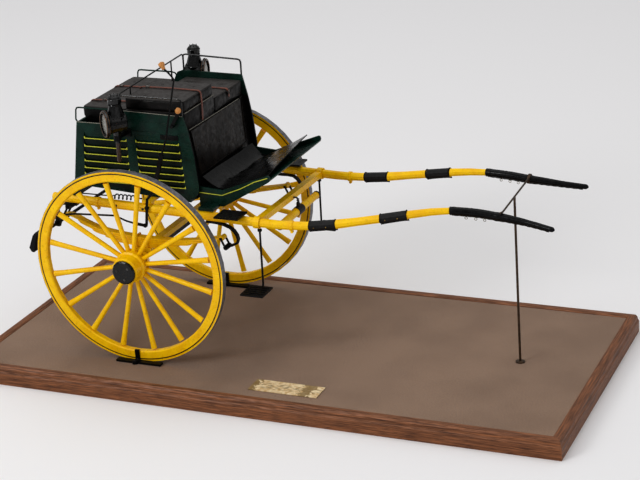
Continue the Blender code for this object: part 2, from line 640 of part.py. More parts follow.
def make_nave(name, holder):
    bore = AXLE_ARM_RADIUS + CLEARANCE
    tip_bore = AXLE_ARM_TIP_RADIUS + CLEARANCE
    groove = SPOKE_RING_BORE - CLEARANCE
    back = SPOKE_PLANE - SPOKE_RING_WIDTH / 2 - CLEARANCE
    front = SPOKE_PLANE + SPOKE_RING_WIDTH / 2 + CLEARANCE
    seat = HUB_CAP_SPIGOT_RADIUS + CLEARANCE
    floor = NAVE_NOSE - HUB_CAP_SPIGOT - CLEARANCE
    profile = ((bore, NAVE_BACK), (NAVE_BACK_RADIUS, NAVE_BACK), (NAVE_BACK_RADIUS + 1 * MM, NAVE_BACK + 2 * MM),
               (NAVE_FLANGE_RADIUS - 1.2 * MM, back - 3 * MM), (NAVE_FLANGE_RADIUS - 0.4 * MM, back),
               (groove, back), (groove, front), (NAVE_FLANGE_RADIUS, front), (NAVE_FLANGE_RADIUS, front + 2.6 * MM),
               (NAVE_NOSE_RADIUS + 0.4 * MM, front + 3.8 * MM), (NAVE_NOSE_RADIUS, NAVE_NOSE - 2 * MM),
               (NAVE_NOSE_RADIUS - 1.2 * MM, NAVE_NOSE), (seat, NAVE_NOSE), (seat, floor), (tip_bore, floor))
    finish(turned(name, profile, 20, True, "Y"), "yellow_enamel", holder)


def make_spokes(name, holder):
    """A ring of mitred spoke feet, clamped between the nave's flanges, and the spokes themselves."""
    half = SPOKE_RING_WIDTH / 2
    ring = turned(name, ((SPOKE_RING_BORE, SPOKE_PLANE - half), (SPOKE_RING_RADIUS, SPOKE_PLANE - half),
                         (SPOKE_RING_RADIUS, SPOKE_PLANE + half), (SPOKE_RING_BORE, SPOKE_PLANE + half)),
                  24, True, "Y")
    start = SPOKE_RING_RADIUS - 2.6 * MM
    end = RIM_INNER - 2 * CLEARANCE
    stations = (start, end)
    for k in range(SPOKE_COUNT):
        angle = WHEEL_PHASE + math.tau * (k + 0.5) / SPOKE_COUNT
        outward = Vector((math.sin(angle), 0, -math.cos(angle)))
        across = Vector((math.cos(angle), 0, math.sin(angle)))
        rings = []
        for radius in stations:
            share = (radius - start) / (end - start)
            centre = outward * radius + Vector((0, SPOKE_PLANE + DISH * share, 0))
            thickness = SPOKE_FOOT_THICKNESS + (SPOKE_TIP_THICKNESS - SPOKE_FOOT_THICKNESS) * share
            width = SPOKE_FOOT_WIDTH + (SPOKE_TIP_WIDTH - SPOKE_FOOT_WIDTH) * share
            rings.append(ring_at(centre, across, Vector((0, 1, 0)), width / 2, thickness / 2, 6, 0))
        fuse(ring, loft("spoke", rings))
    finish(ring, "yellow_enamel", holder)


def make_rim(side_name, holder):
    half = RIM_WIDTH / 2
    inner = RIM_INNER
    felloe_outer = WHEEL_RADIUS - TYRE_THICKNESS - CLEARANCE
    felloe = turned(side_name + "_felloe",
                    ((inner, -half + FELLOE_CHAMFER), (inner + FELLOE_CHAMFER, -half), (felloe_outer, -half),
                     (felloe_outer, half), (inner + FELLOE_CHAMFER, half), (inner, half - FELLOE_CHAMFER)),
                    48, True, "Y")
    finish(felloe, "yellow_enamel", holder)
    tyre_inner = WHEEL_RADIUS - TYRE_THICKNESS
    tyre = turned(side_name + "_tyre", ((tyre_inner, -half), (WHEEL_RADIUS, -half), (WHEEL_RADIUS, half),
                                        (tyre_inner, half)), 48, True, "Y")
    finish(tyre, "tyre_iron", holder)


def make_hub_cap(name, holder):
    seat = NAVE_NOSE + CLEARANCE
    face = seat + HUB_CAP_THICKNESS
    spigot = NAVE_NOSE - HUB_CAP_SPIGOT
    profile = ((0, face), (HUB_CAP_RADIUS - 1.6 * MM, face), (HUB_CAP_RADIUS - 0.2 * MM, face - 1 * MM),
               (HUB_CAP_RADIUS, seat), (HUB_CAP_SPIGOT_RADIUS, seat), (HUB_CAP_SPIGOT_RADIUS, spigot), (0, spigot))
    finish(turned(name, profile, 20, False, "Y"), "black_enamel", holder)


def make_wheels(cart):
    for side_name, side in SIDES:
        holder = wheel_axis(side_name + "_wheel_axis", side, cart)
        make_nave(side_name + "_nave", holder)
        make_spokes(side_name + "_spokes", holder)
        make_rim(side_name, holder)
        make_hub_cap(side_name + "_hub_cap", holder)


# Axle, bed and springs

def axle_height():
    return HUB_Z + math.tan(CAMBER) * -(NAVE_BACK - AXLE_COLLAR_WIDTH)


def make_axle(cart):
    """A square bar with collars, and round arms that drop outwards by the camber."""
    level = axle_height()
    half = AXLE_BAR / 2
    collar_back = NAVE_BACK - CLEARANCE - AXLE_COLLAR_WIDTH
    reach = HALF_TRACK + collar_back
    axle = box("axle", (-half, -reach - 1 * MM, level - half), (half, reach + 1 * MM, level + half))
    for side_name, side in SIDES:
        profile = ((0, collar_back), (AXLE_COLLAR_RADIUS, collar_back),
                   (AXLE_COLLAR_RADIUS, NAVE_BACK - CLEARANCE), (AXLE_ARM_RADIUS, NAVE_BACK - CLEARANCE),
                   (AXLE_ARM_TIP_RADIUS, AXLE_ARM_END - 4 * MM), (AXLE_ARM_TIP_RADIUS, AXLE_ARM_END),
                   (0, AXLE_ARM_END))
        arm = turned("arm", profile, 16, False, "Y")
        turn = Matrix.Rotation(math.pi if side == NEAR else 0, 4, "Z") @ Matrix.Rotation(-CAMBER, 4, "X")
        arm.data.transform(Matrix.Translation((0, side * HALF_TRACK, HUB_Z)) @ turn)
        fuse(axle, arm)
    finish(axle, "black_iron", cart, (0, 0, level))


def leaf_line(drop, rear, front):
    """The spring's top curve, lowered, between two reaches."""
    points = [(x, between(SPRING_TOP, x)[1] - drop) for x, _ in SPRING_TOP if -rear < x < front]
    points.insert(0, (-rear, between(SPRING_TOP, -rear)[1] - drop))
    points.append((front, between(SPRING_TOP, front)[1] - drop))
    return points


def spring_bottom():
    return between(SPRING_TOP, 0)[1] * MM - LEAF_COUNT * LEAF_THICKNESS


def rear_eye():
    x, z = SPRING_TOP[0]
    return Vector((x * MM - 1.2 * MM, 0, z * MM - REAR_EYE_DROP))


def front_eye():
    x, z = SPRING_TOP[-1]
    return Vector((x * MM + 1.4 * MM, 0, z * MM - LEAF_THICKNESS * 0.5))


def make_spring(name, side, cart):
    """A pack of leaves as one stepped outline, with a scroll eye at each end."""
    thickness = LEAF_THICKNESS / MM
    outline = leaf_line(0, LEAF_REAR_REACH[0], LEAF_FRONT_REACH[0])
    for k in range(LEAF_COUNT):
        line = leaf_line(thickness * (k + 1), LEAF_REAR_REACH[k], LEAF_FRONT_REACH[k])
        following = LEAF_FRONT_REACH[k + 1] if k + 1 < LEAF_COUNT else 0
        outline += [point for point in reversed(line) if point[0] > following]
    for k in reversed(range(LEAF_COUNT)):
        line = leaf_line(thickness * (k + 1), LEAF_REAR_REACH[k], LEAF_FRONT_REACH[k])
        following = LEAF_REAR_REACH[k + 1] if k + 1 < LEAF_COUNT else 0
        outline += [point for point in reversed(line) if point[0] < -following]
    shape = []
    for x, z in outline:
        if not shape or (abs(x - shape[-1][0]) > 0.01 or abs(z - shape[-1][1]) > 0.01):
            shape.append((x, z))
    half = SPRING_WIDTH / 2
    spring = prism(name, [(x * MM, z * MM) for x, z in shape], -half, half)
    for eye in (rear_eye(), front_eye()):
        scroll = turned("eye", ((0, -half), (SPRING_EYE_RADIUS, -half), (SPRING_EYE_RADIUS, half), (0, half)),
                        10, False, "Y")
        scroll.data.transform(Matrix.Translation(eye))
        fuse(spring, scroll)
    for eye in (rear_eye(), front_eye()):
        bore = SPRING_PIN_RADIUS + CLEARANCE
        hole = turned("hole", ((0, -2 * half), (bore, -2 * half), (bore, 2 * half), (0, 2 * half)), 8, False, "Y")
        hole.data.transform(Matrix.Translation(eye))
        cut(spring, hole)
    spring.data.transform(Matrix.Translation((0, side * SPRING_HALF_GAUGE, 0)))
    finish(spring, "yellow_enamel", cart, (0, side * SPRING_HALF_GAUGE, spring_bottom()))


def make_axle_bed(cart):
    """The wooden bed on the axle, with a pad and two U-bolts at each spring."""
    low = axle_height() + AXLE_BAR / 2 + CLEARANCE
    pad_top = spring_bottom() - CLEARANCE
    half = BED_WIDTH / 2
    reach = SPRING_HALF_GAUGE + SPRING_WIDTH / 2 + CLEARANCE + 2 * U_BOLT_RADIUS
    bed = box("axle_bed", (-half, -reach, low), (half, reach, low + BED_HEIGHT))
    leg = SPRING_WIDTH / 2 + CLEARANCE + U_BOLT_RADIUS
    for _, side in SIDES:
        middle = side * SPRING_HALF_GAUGE
        pad = box("pad", (-PAD_LENGTH / 2, middle - leg - U_BOLT_RADIUS, low + 0.1 * MM),
                  (PAD_LENGTH / 2, middle + leg + U_BOLT_RADIUS, pad_top))
        fuse(bed, pad)
        for x in (-U_BOLT_SPACING, U_BOLT_SPACING):
            top = between(SPRING_TOP, x / MM)[1] * MM + CLEARANCE + U_BOLT_RADIUS + 0.2 * MM
            path = [Vector((x, middle - leg, pad_top - 2 * MM)), Vector((x, middle - leg, top - 1 * MM)),
                    Vector((x, middle - leg + 1 * MM, top)), Vector((x, middle + leg - 1 * MM, top)),
                    Vector((x, middle + leg, top - 1 * MM)), Vector((x, middle + leg, pad_top - 2 * MM))]
            fuse(bed, bar("bolt", path, U_BOLT_RADIUS, 6))
    finish(bed, "yellow_enamel", cart, (0, 0, low))


def shackle(name, first, second, half, middle, radius):
    """A link plate on each side of a spring eye, with its pins, as one solid."""
    pieces = []
    for side in (-1, 1):
        y = middle + side * (half + CLEARANCE + SHACKLE_THICKNESS / 2)
        path = [first + Vector((0, y, 0)), second + Vector((0, y, 0))]
        direction = (path[1] - path[0]).normalized()
        path = [path[0] - direction * radius, path[1] + direction * radius]
        across = Vector((0, 1, 0))
        upward = direction.cross(across)
        rings = [ring_at(point, across, upward, SHACKLE_THICKNESS / 2 * 1.414, radius * 1.2, 4) for point in path]
        pieces.append(loft("plate", rings))
    return pieces


def cross_pin(centre, middle, half, radius, sides=8):
    pin = turned("pin", ((0, -half), (radius, -half), (radius, half), (0, half)), sides, False, "Y")
    pin.data.transform(Matrix.Translation(centre + Vector((0, middle, 0))))
    return pin


def make_front_hanger(name, side, cart):
    """A C-shaped iron under the shaft whose foot carries the spring's front eye on a shackle."""
    middle = side * SPRING_HALF_GAUGE
    centre, radius = shaft_at(99 * MM, side)
    under = centre.z - radius - CLEARANCE - FRONT_HANGER_THICKNESS / 2
    curve = smooth([mm(84, 0, 0), mm(99, 0, 0), mm(113.5, 0, 0), mm(122, 0, 0), mm(121.5, 0, 0), mm(108.5, 0, 0)], 2)
    levels = smooth([Vector((0, 0, under)), Vector((0, 0, under - 0.6 * MM)), mm(0, 0, 166.5), mm(0, 0, 157.5),
                     mm(0, 0, 148), mm(0, 0, 142.6)], 2)
    path = [Vector((a.x, middle, b.z)) for a, b in zip(curve, levels)]
    rings = []
    for point, (tangent, _, _) in zip(path, path_frames(path)):
        across = Vector((0, 1, 0))
        upward = tangent.cross(across).normalized()
        rings.append(ring_at(point, across, upward, FRONT_HANGER_WIDTH / 2 * 1.414,
                             FRONT_HANGER_THICKNESS / 2 * 1.414, 4))
    hanger = loft(name, rings)
    roller = Vector((108.5 * MM, 0, 142.6 * MM))
    half = SPRING_WIDTH / 2
    reach = half + CLEARANCE + SHACKLE_THICKNESS
    fuse(hanger, cross_pin(roller, middle, half + 0.8 * MM, SHACKLE_ROLLER_RADIUS))
    fuse(hanger, *shackle("link", roller, front_eye(), half, middle, SPRING_PIN_RADIUS))
    fuse(hanger, cross_pin(front_eye(), middle, reach + 0.6 * MM, SPRING_PIN_RADIUS))
    fuse(hanger, cross_pin(roller, middle, reach + 0.6 * MM, SPRING_PIN_RADIUS))
    finish(hanger, "black_iron", cart, roller + Vector((0, middle, 0)))


def make_rear_hanger(name, side, cart):
    """A plate under the shaft's end, with a shackle to the spring's rear eye and a leg for the brake beam."""
    middle = side * SPRING_HALF_GAUGE
    centre, radius = shaft_at(-97 * MM, side)
    under = centre.z - radius - CLEARANCE - 0.2 * MM
    low = under - REAR_PLATE_THICKNESS
    half = SPRING_WIDTH / 2
    hanger = box(name, (REAR_HANGER_X - 1.8 * MM, middle - 3.5 * MM, low), (-84 * MM, middle + 3.5 * MM, under))
    lug = Vector((-95 * MM, 0, low - 2 * MM))
    fuse(hanger, box("lug", (-98 * MM, middle - half - 1 * MM, low - 4 * MM),
                     (-92 * MM, middle + half + 1 * MM, low + 0.5 * MM)))
    fuse(hanger, *shackle("link", lug, rear_eye(), half, middle, SPRING_PIN_RADIUS))
    reach = half + CLEARANCE + SHACKLE_THICKNESS
    fuse(hanger, cross_pin(rear_eye(), middle, reach + 0.6 * MM, SPRING_PIN_RADIUS))
    fuse(hanger, cross_pin(lug, middle, reach + 0.6 * MM, SPRING_PIN_RADIUS + 0.4 * MM))
    leg_low = BEAM_Z - BEAM_RADIUS - CLEARANCE - 1.8 * MM
    leg = box("leg", (REAR_HANGER_X - 3.6 * MM, middle - 2 * MM, leg_low),
              (REAR_HANGER_X + 1.4 * MM, middle + 2 * MM, low + 1 * MM))
    fuse(hanger, leg)
    bore = BEAM_RADIUS + CLEARANCE
    boss = turned("boss", ((0, -2.4 * MM), (bore + 1.6 * MM, -2.4 * MM), (bore + 1.6 * MM, 2.4 * MM),
                           (0, 2.4 * MM)), 12, False, "Y")
    boss.data.transform(Matrix.Translation((BEAM_X, middle, BEAM_Z)))
    hole = turned("hole", ((0, -4 * MM), (bore, -4 * MM), (bore, 4 * MM), (0, 4 * MM)), 12, False, "Y")
    hole.data.transform(Matrix.Translation((BEAM_X, middle, BEAM_Z)))
    cut(fuse(hanger, boss), hole)
    finish(hanger, "black_iron", cart, Vector((REAR_HANGER_X, middle, low)))


# Shafts and what hangs on them

def shaft_line(start, end, side, widen=0.0):
    """Centreline points between two stations, with the radius at each."""
    knots = [shaft_at(row[0] * MM, side)[0] for row in SHAFT_PATH]
    inner = [point for point in knots if start + 1 * MM < point.x < end - 1 * MM]
    stations = [shaft_at(start, side)[0], *inner, shaft_at(end, side)[0]]
    return stations, [shaft_at(point.x, side)[1] + widen for point in stations]


def with_steps(points, radii, spans, rise):
    """Add a raised sleeve to a tapering bar between each pair of stations."""
    table = [(point.x, point.y, point.z, radius) for point, radius in zip(points, radii)]
    for start, end in spans:
        for x, lift in ((start, 0), (start + 0.2 * MM, rise), (end - 0.2 * MM, rise), (end, 0)):
            row = between(sorted(table), x)
            table = [old for old in table if abs(old[0] - x) > 0.05 * MM]
            table.append((row[0], row[1], row[2], row[3] + lift if lift else row[3]))
        table = [(x, y, z, r + rise if start + 0.3 * MM < x < end - 0.3 * MM else r) for x, y, z, r in table]
    table.sort()
    return [Vector(row[:3]) for row in table], [row[3] for row in table]


def make_shaft(name, side, cart):
    """The bent wooden shaft with its clamp bands, thinner inside its tip sheath."""
    points, radii = shaft_line(SHAFT_PATH[0][0] * MM, SHAFT_WOOD_END, side)
    sleeves = [(a * MM, b * MM) for a, b in SLEEVE_SPANS]
    points, radii = with_steps(points, radii, sleeves, SLEEVE_THICKNESS)
    tail, tail_radii = shaft_line(SHAFT_WOOD_END + 0.4 * MM, SHEATH_END - 4 * MM, side)
    shaft = bar(name, points + tail, radii + [radius - 2 * CLEARANCE for radius in tail_radii], 10)
    for start, end in SHAFT_BAND_SPANS:
        (a, radius), (b, _) = shaft_at(start * MM, side), shaft_at(end * MM, side)
        band = bar("band", [a, b], radius + 1 * MM, 10)
        drop = a.lerp(b, 0.5)
        lug = cross_pin(drop - Vector((0, 0, radius + 2 * MM)), 0, 1.4 * MM, 1.8 * MM, 8)
        fuse(shaft, band, lug)
    if side == NEAR:
        centre, radius = shaft_at(LEVER_PIVOT[0], side)
        pin_start = side * (abs(centre.y) + radius * 0.5)
        pin_end = side * (LEVER_PLANE + LEVER_THICKNESS / 2 + 1.2 * MM)
        length = abs(pin_end - pin_start) / 2
        pin = cross_pin(Vector((LEVER_PIVOT[0], 0, LEVER_PIVOT[1])), (pin_start + pin_end) / 2, length,
                        LEVER_PIN_RADIUS)
        post_x = -57 * MM
        post_low = shaft_top(post_x) - 1.5 * MM
        post_high = coil_height() - COIL_WIRE_RADIUS - CLEARANCE
        post = turned("post", ((0, post_low), (1.7 * MM, post_low), (1.7 * MM, post_high), (0, post_high)), 8)
        post.data.transform(Matrix.Translation((post_x, side * SPRING_HALF_GAUGE, 0)))
        fuse(shaft, pin, post)
    finish(shaft, "yellow_enamel", cart, shaft_at(0, side)[0])


def make_tip_sheath(name, side, cart):
    """A leather sheath sewn round the shaft's tip, open at its rear."""
    points, radii = shaft_line(SHAFT_WOOD_END + 0.5 * MM, SHEATH_END - 1.8 * MM, side)
    frames = path_frames(points)
    outer = [ring_at(point, across, upward, radius + SHEATH_WALL - CLEARANCE, radius + SHEATH_WALL - CLEARANCE, 10)
             for point, radius, (_, across, upward) in zip(points, radii, frames)]
    tip = points[-1] + frames[-1][0] * 1.8 * MM
    outer.append(ring_at(tip, frames[-1][1], frames[-1][2], radii[-1] * 0.6, radii[-1] * 0.6, 10))
    inner_points, inner_radii = shaft_line(SHAFT_WOOD_END + 0.5 * MM, SHEATH_END - 3.6 * MM, side)
    inner = [ring_at(point, across, upward, radius - CLEARANCE, radius - CLEARANCE, 10)
             for point, radius, (_, across, upward) in zip(inner_points, inner_radii, path_frames(inner_points))]
    finish(loft(name, list(reversed(inner)) + outer), "black_leather", cart, points[0])


def make_front_crossbar(cart):
    """The bar between the shafts, with a band round each shaft and the swingletree's hook."""
    near, radius = shaft_at(CROSSBAR_X, NEAR)
    far, _ = shaft_at(CROSSBAR_X, FAR)
    half = CROSSBAR_WIDTH / 2
    tall = CROSSBAR_HEIGHT / 2
    reach = far.y - radius - CLEARANCE - 0.6 * MM
    rings = []
    for y, level in ((-reach, near.z), (reach, far.z)):
        rings.append([Vector((CROSSBAR_X + a * half, y, level + 0.5 * MM + b * tall))
                      for a, b in ((-1, -1), (1, -1), (1, 1), (-1, 1))])
    crossbar = loft("front_crossbar", rings)
    inner = radius + 2 * CLEARANCE
    outer = inner + CROSSBAR_BAND_WALL
    for _, side in SIDES:
        band = turned("band", ((inner, -CROSSBAR_BAND / 2), (outer, -CROSSBAR_BAND / 2), (outer, CROSSBAR_BAND / 2),
                               (inner, CROSSBAR_BAND / 2)), 16, True, "X")
        before, after = shaft_at(CROSSBAR_X - 12 * MM, side)[0], shaft_at(CROSSBAR_X + 12 * MM, side)[0]
        turn = Vector((1, 0, 0)).rotation_difference(after - before).to_matrix().to_4x4()
        band.data.transform(Matrix.Translation(shaft_at(CROSSBAR_X, side)[0]) @ turn)
        fuse(crossbar, band)
    eye_z = SWINGLETREE_Z + SWINGLETREE_SLEEVE_RADIUS + SWINGLETREE_EYE_RADIUS
    level = (near.z + far.z) / 2
    hook = [Vector((CROSSBAR_X + half - 1 * MM, 0, level)), Vector((SWINGLETREE_X - 1 * MM, 0, level)),
            Vector((SWINGLETREE_X + 0.4 * MM, 0, level - 1.2 * MM)),
            Vector((SWINGLETREE_X + 0.4 * MM, 0, eye_z - 4.2 * MM + SWINGLETREE_EYE_BORE + 2 * MM))]
    fuse(crossbar, bar("hook", hook, HOOK_RADIUS, 8))
    finish(crossbar, "yellow_enamel", cart, (CROSSBAR_X, 0, level))


def make_swingletree(cart):
    """A turned bar that swings about the hook, with a leather sleeve, end caps and an upright eye plate."""
    cap = SWINGLETREE_CAP
    half = SWINGLETREE_HALF
    sleeve = SWINGLETREE_SLEEVE_HALF
    radius = SWINGLETREE_RADIUS
    profile = ((0, -half), (radius * 0.86, -half), (radius * 1.04, -half + cap * 0.3), (radius * 1.04, -half + cap),
               (radius * 0.9, -half + cap + 0.2 * MM), (radius, -sleeve - 0.2 * MM),
               (SWINGLETREE_SLEEVE_RADIUS, -sleeve), (SWINGLETREE_SLEEVE_RADIUS, sleeve),
               (radius, sleeve + 0.2 * MM), (radius * 0.9, half - cap - 0.2 * MM), (radius * 1.04, half - cap),
               (radius * 1.04, half - cap * 0.3), (radius * 0.86, half), (0, half))
    tree = turned("swingletree", profile, 12, False, "Y")
    low = SWINGLETREE_SLEEVE_RADIUS * 0.8
    high = SWINGLETREE_SLEEVE_RADIUS + 3.4 * MM
    stem = turned("eye", ((HOOK_RADIUS + CLEARANCE, low), (SWINGLETREE_EYE_RADIUS, low),
                          (SWINGLETREE_EYE_RADIUS, high), (HOOK_RADIUS + CLEARANCE, high)), 12, True)
    fuse(tree, stem)
    tree.data.transform(Matrix.Translation((SWINGLETREE_X + 0.4 * MM, 0, SWINGLETREE_Z)))
    finish(tree, "yellow_enamel", cart, (SWINGLETREE_X + 0.4 * MM, 0, SWINGLETREE_Z))


def make_step_plate(name, side, cart):
    x0, x1 = STEP_PLATE_X[side]
    low = shaft_top(x0, side) + CLEARANCE
    reaches = (SPRING_HALF_GAUGE - STEP_PLATE_IN, SPRING_HALF_GAUGE + STEP_PLATE_OUT[side])
    y0, y1 = sorted(side * reach for reach in reaches)
    plate = box(name, (x0, y0, low), (x1, y1, low + STEP_PLATE_THICKNESS))
    finish(plate, "black_leather", cart, (x0, side * SPRING_HALF_GAUGE, low))


def make_hanging_step(name, side, cart):
    """A rod under the shaft that carries a slatted tread."""
    rod_x = STEP_ROD_X[side]
    centre, radius = shaft_at(rod_x, side)
    top = centre.z - radius - CROSSBAR_BAND_WALL - 5 * CLEARANCE
    rod_y = centre.y
    y0, y1 = sorted((side * TREAD_Y[0], side * TREAD_Y[1]))
    tread = box(name, (TREAD_X[0], y0, TREAD_Z - TREAD_THICKNESS), (TREAD_X[1], y1, TREAD_Z))
    slots = TREAD_SLATS - 1
    width = (y1 - y0 - 3 * MM - slots * TREAD_SLAT_GAP) / TREAD_SLATS
    for k in range(slots):
        start = y0 + 1.5 * MM + width * (k + 1) + TREAD_SLAT_GAP * k
        cut(tread, box("slot", (TREAD_X[0] + 2.4 * MM, start, TREAD_Z - 2 * TREAD_THICKNESS),
                       (TREAD_X[1] - 2.4 * MM, start + TREAD_SLAT_GAP, TREAD_Z + TREAD_THICKNESS)))
    arm_end = Vector((rod_x, side * (TREAD_Y[0] + 1 * MM), TREAD_Z - TREAD_THICKNESS / 2))
    path = [Vector((rod_x, rod_y, top)), Vector((rod_x, rod_y, TREAD_Z + 3 * MM)),
            Vector((rod_x, rod_y + side * 0.8 * MM, TREAD_Z)), arm_end]
    rod = bar("rod", path, STEP_ROD_RADIUS, 8)
    collar = turned("collar", ((0, top - 2.4 * MM), (2.6 * MM, top - 2.4 * MM), (2.6 * MM, top), (0, top)), 10)
    collar.data.transform(Matrix.Translation((rod_x, rod_y, 0)))
    finish(fuse(tread, rod, collar), "black_iron", cart, (rod_x, rod_y, top))


def make_body_bearer(cart):
    """The bar across the shafts under the middle of the body, with a pair of upright blocks at each end."""
    x0, x1 = BEARER_POSTS_X
    half = BEARER_POST_WIDTH / 2
    top = body_bottom(x1 + half) - UNDER_SILL_HEIGHT - 2 * CLEARANCE
    post_start, reach = BEARER_REACH
    seat = shaft_top(x0 - half) + CLEARANCE
    bearer = box("body_bearer", (x0 - half, -reach, top - BEARER_HEIGHT), (x1 + half, reach, top))
    for _, side in SIDES:
        for x in (x0, x1):
            y0, y1 = sorted((side * post_start, side * reach))
            fuse(bearer, box("post", (x - half, y0, seat), (x + half, y1, top - 0.1 * MM)))
    finish(bearer, "yellow_enamel", cart, (x0, 0, seat))


# Body

def louvre_cutter(left, right, low, high, side):
    """A wedge that leaves a ledge at its foot and a slat that rises outwards to the surface."""
    outer = side * BODY_HALF_WIDTH
    clear = outer + side * 0.4 * MM
    deep = outer - side * LOUVRE_DEPTH
    form = bmesh.new()
    corners = []
    for x_low, x_high in (left, right):
        corners.append([form.verts.new(point) for point in
                        ((x_low, clear, low), (x_low, deep, low), (x_high, outer, high), (x_high, clear, high))])
    form.faces.new(corners[0])
    form.faces.new(corners[1])
    for i in range(4):
        j = (i + 1) % 4
        form.faces.new((corners[0][i], corners[0][j], corners[1][j], corners[1][i]))
    return from_bmesh("louvre", form)


def louvre_rows():
    """Height of each slat's painted edge, from the top row down."""
    level = LOUVRE_TOP
    rows = []
    for k in range(LOUVRE_COUNT):
        rows.append(level)
        level -= LOUVRE_FIRST_PITCH - LOUVRE_PITCH_LOSS * k
    return rows


def louvre_span(field, level):
    """Left and right ends of a louvre field at a height."""
    rows = louvre_rows()
    share = (rows[0] - level) / (rows[0] - rows[-1])
    (top_left, top_right), (low_left, low_right) = field
    return (top_left + (low_left - top_left) * share) * MM, (top_right + (low_right - top_right) * share) * MM


def make_body_side(name, side, cart):
    """A side board with two fields of louvres, its seat panel and the rail at its rear end."""
    inner = side * (BODY_HALF_WIDTH - SIDE_THICKNESS)
    outer = side * BODY_HALF_WIDTH
    (back_x, back_z), (front_x_top, front_z) = BODY_TOP[side]
    outline = [*BODY_OUTLINE, (front_x_top, front_z), (back_x, back_z)]
    outline += [(x, back_z - drop) for x, drop in BODY_REAR_CURVE]
    outline += BODY_REAR_EDGE
    panel = prism(name, [(x * MM, z * MM) for x, z in outline], min(inner, outer), max(inner, outer))
    rows = louvre_rows()
    for field in (REAR_LOUVRE_X, FRONT_LOUVRE_X):
        for k, row in enumerate(rows):
            low = row + LOUVRE_LEDGE
            above = rows[k - 1] if k else row + LOUVRE_FIRST_PITCH
            high = above + LOUVRE_LEDGE - LOUVRE_LIP
            left_low, right_low = louvre_span(field, low)
            left_high, right_high = louvre_span(field, high)
            cut(panel, louvre_cutter((left_low, left_high), (right_low, right_high), low, high, side))
    middle = side * (BODY_HALF_WIDTH - SIDE_THICKNESS / 2)
    shift = FAR_REAR_RAIL_SHIFT if side == FAR else 0
    rail = [Vector(((x + shift * (z > REAR_RAIL[0][1]) * (x < -40)) * MM, middle, z * MM)) for x, z in REAR_RAIL]
    fuse(panel, bar("rail", rail, RAIL_RADIUS, 6))
    finish(panel, "green_enamel", cart, (0, outer, body_bottom(0)))


def sloped(start, end, low, high):
    """The outline of a board that follows the slope of the body's underside."""
    return ((start, body_bottom(start) + low), (end, body_bottom(end) + low), (end, body_bottom(end) + high),
            (start, body_bottom(start) + high))


def make_floor(cart):
    """The floor board, the sill that shows under the sides, and the one that rests on the shafts at the rear."""
    start = BODY_TAIL[0] + PANEL_THICKNESS + 3 * CLEARANCE
    end = FRONT_PANEL_FOOT_X - PANEL_THICKNESS - 1.2 * MM
    inner = BODY_HALF_WIDTH - SIDE_THICKNESS - CLEARANCE
    floor = prism("body_floor", sloped(start, end, -0.5 * MM, FLOOR_THICKNESS), -inner, inner)
    under = sloped(*UNDER_SILL_X, -UNDER_SILL_HEIGHT - CLEARANCE, -CLEARANCE)
    fuse(floor, prism("under", under, -UNDER_SILL_HALF, UNDER_SILL_HALF))
    x0, x1 = REAR_SILL_X
    seat = shaft_top(x0) + CLEARANCE
    top = body_bottom(x1) - CLEARANCE
    fuse(floor, box("sill", (x0, -SILL_HALF_LENGTH, seat), (x1, SILL_HALF_LENGTH, top)))
    fuse(floor, box("web", (x0 + 1 * MM, -inner + 5 * MM, top - 1 * MM), (x1 - 1 * MM, inner - 5 * MM, top + 2 * MM)))
    finish(floor, "green_enamel", cart, (0, 0, body_bottom(0)))


def front_x(z):
    """The front panel's outer face at a height."""
    share = (SEAT_TOP - SEAT_THICKNESS - z) / (SEAT_TOP - SEAT_THICKNESS - body_bottom(FRONT_PANEL_FOOT_X))
    return FRONT_PANEL_TOP_X + (FRONT_PANEL_FOOT_X - FRONT_PANEL_TOP_X) * share


def make_front_panel(cart):
    top = SEAT_TOP - SEAT_THICKNESS - CLEARANCE
    foot = body_bottom(FRONT_PANEL_FOOT_X)
    inner = BODY_HALF_WIDTH - SIDE_THICKNESS - CLEARANCE
    outline = ((front_x(foot) - PANEL_THICKNESS, foot), (front_x(foot), foot), (front_x(top), top),
               (front_x(top) - PANEL_THICKNESS, top))
    finish(prism("front_panel", outline, -inner, inner), "green_enamel", cart, (front_x(foot), 0, foot))


def make_tailboard(cart):
    """The rear door, which lets down about its lower edge."""
    inner = BODY_HALF_WIDTH - SIDE_THICKNESS - CLEARANCE
    (x0, z0), (x1, z1) = BODY_TAIL, BODY_TAIL_TOP
    foot = z0 + 1.3 * MM
    lean = (x1 - x0) / (z1 - z0)
    low_x = x0 + lean * (foot - z0)
    outline = ((low_x, foot), (low_x + PANEL_THICKNESS, foot), (x1 + PANEL_THICKNESS, z1), (x1, z1))
    tailboard = prism("tailboard", outline, -inner, inner)
    finish(tailboard, "green_enamel", cart, (TAILBOARD_HINGE[0], 0, TAILBOARD_HINGE[1]))


def make_seat_board(cart):
    inner = BODY_HALF_WIDTH - SIDE_THICKNESS - CLEARANCE
    seat = box("seat_board", (SEAT_X[0], -inner, SEAT_TOP - SEAT_THICKNESS), (SEAT_X[1], inner, SEAT_TOP))
    finish(seat, "black_leather", cart, (0, 0, SEAT_TOP))


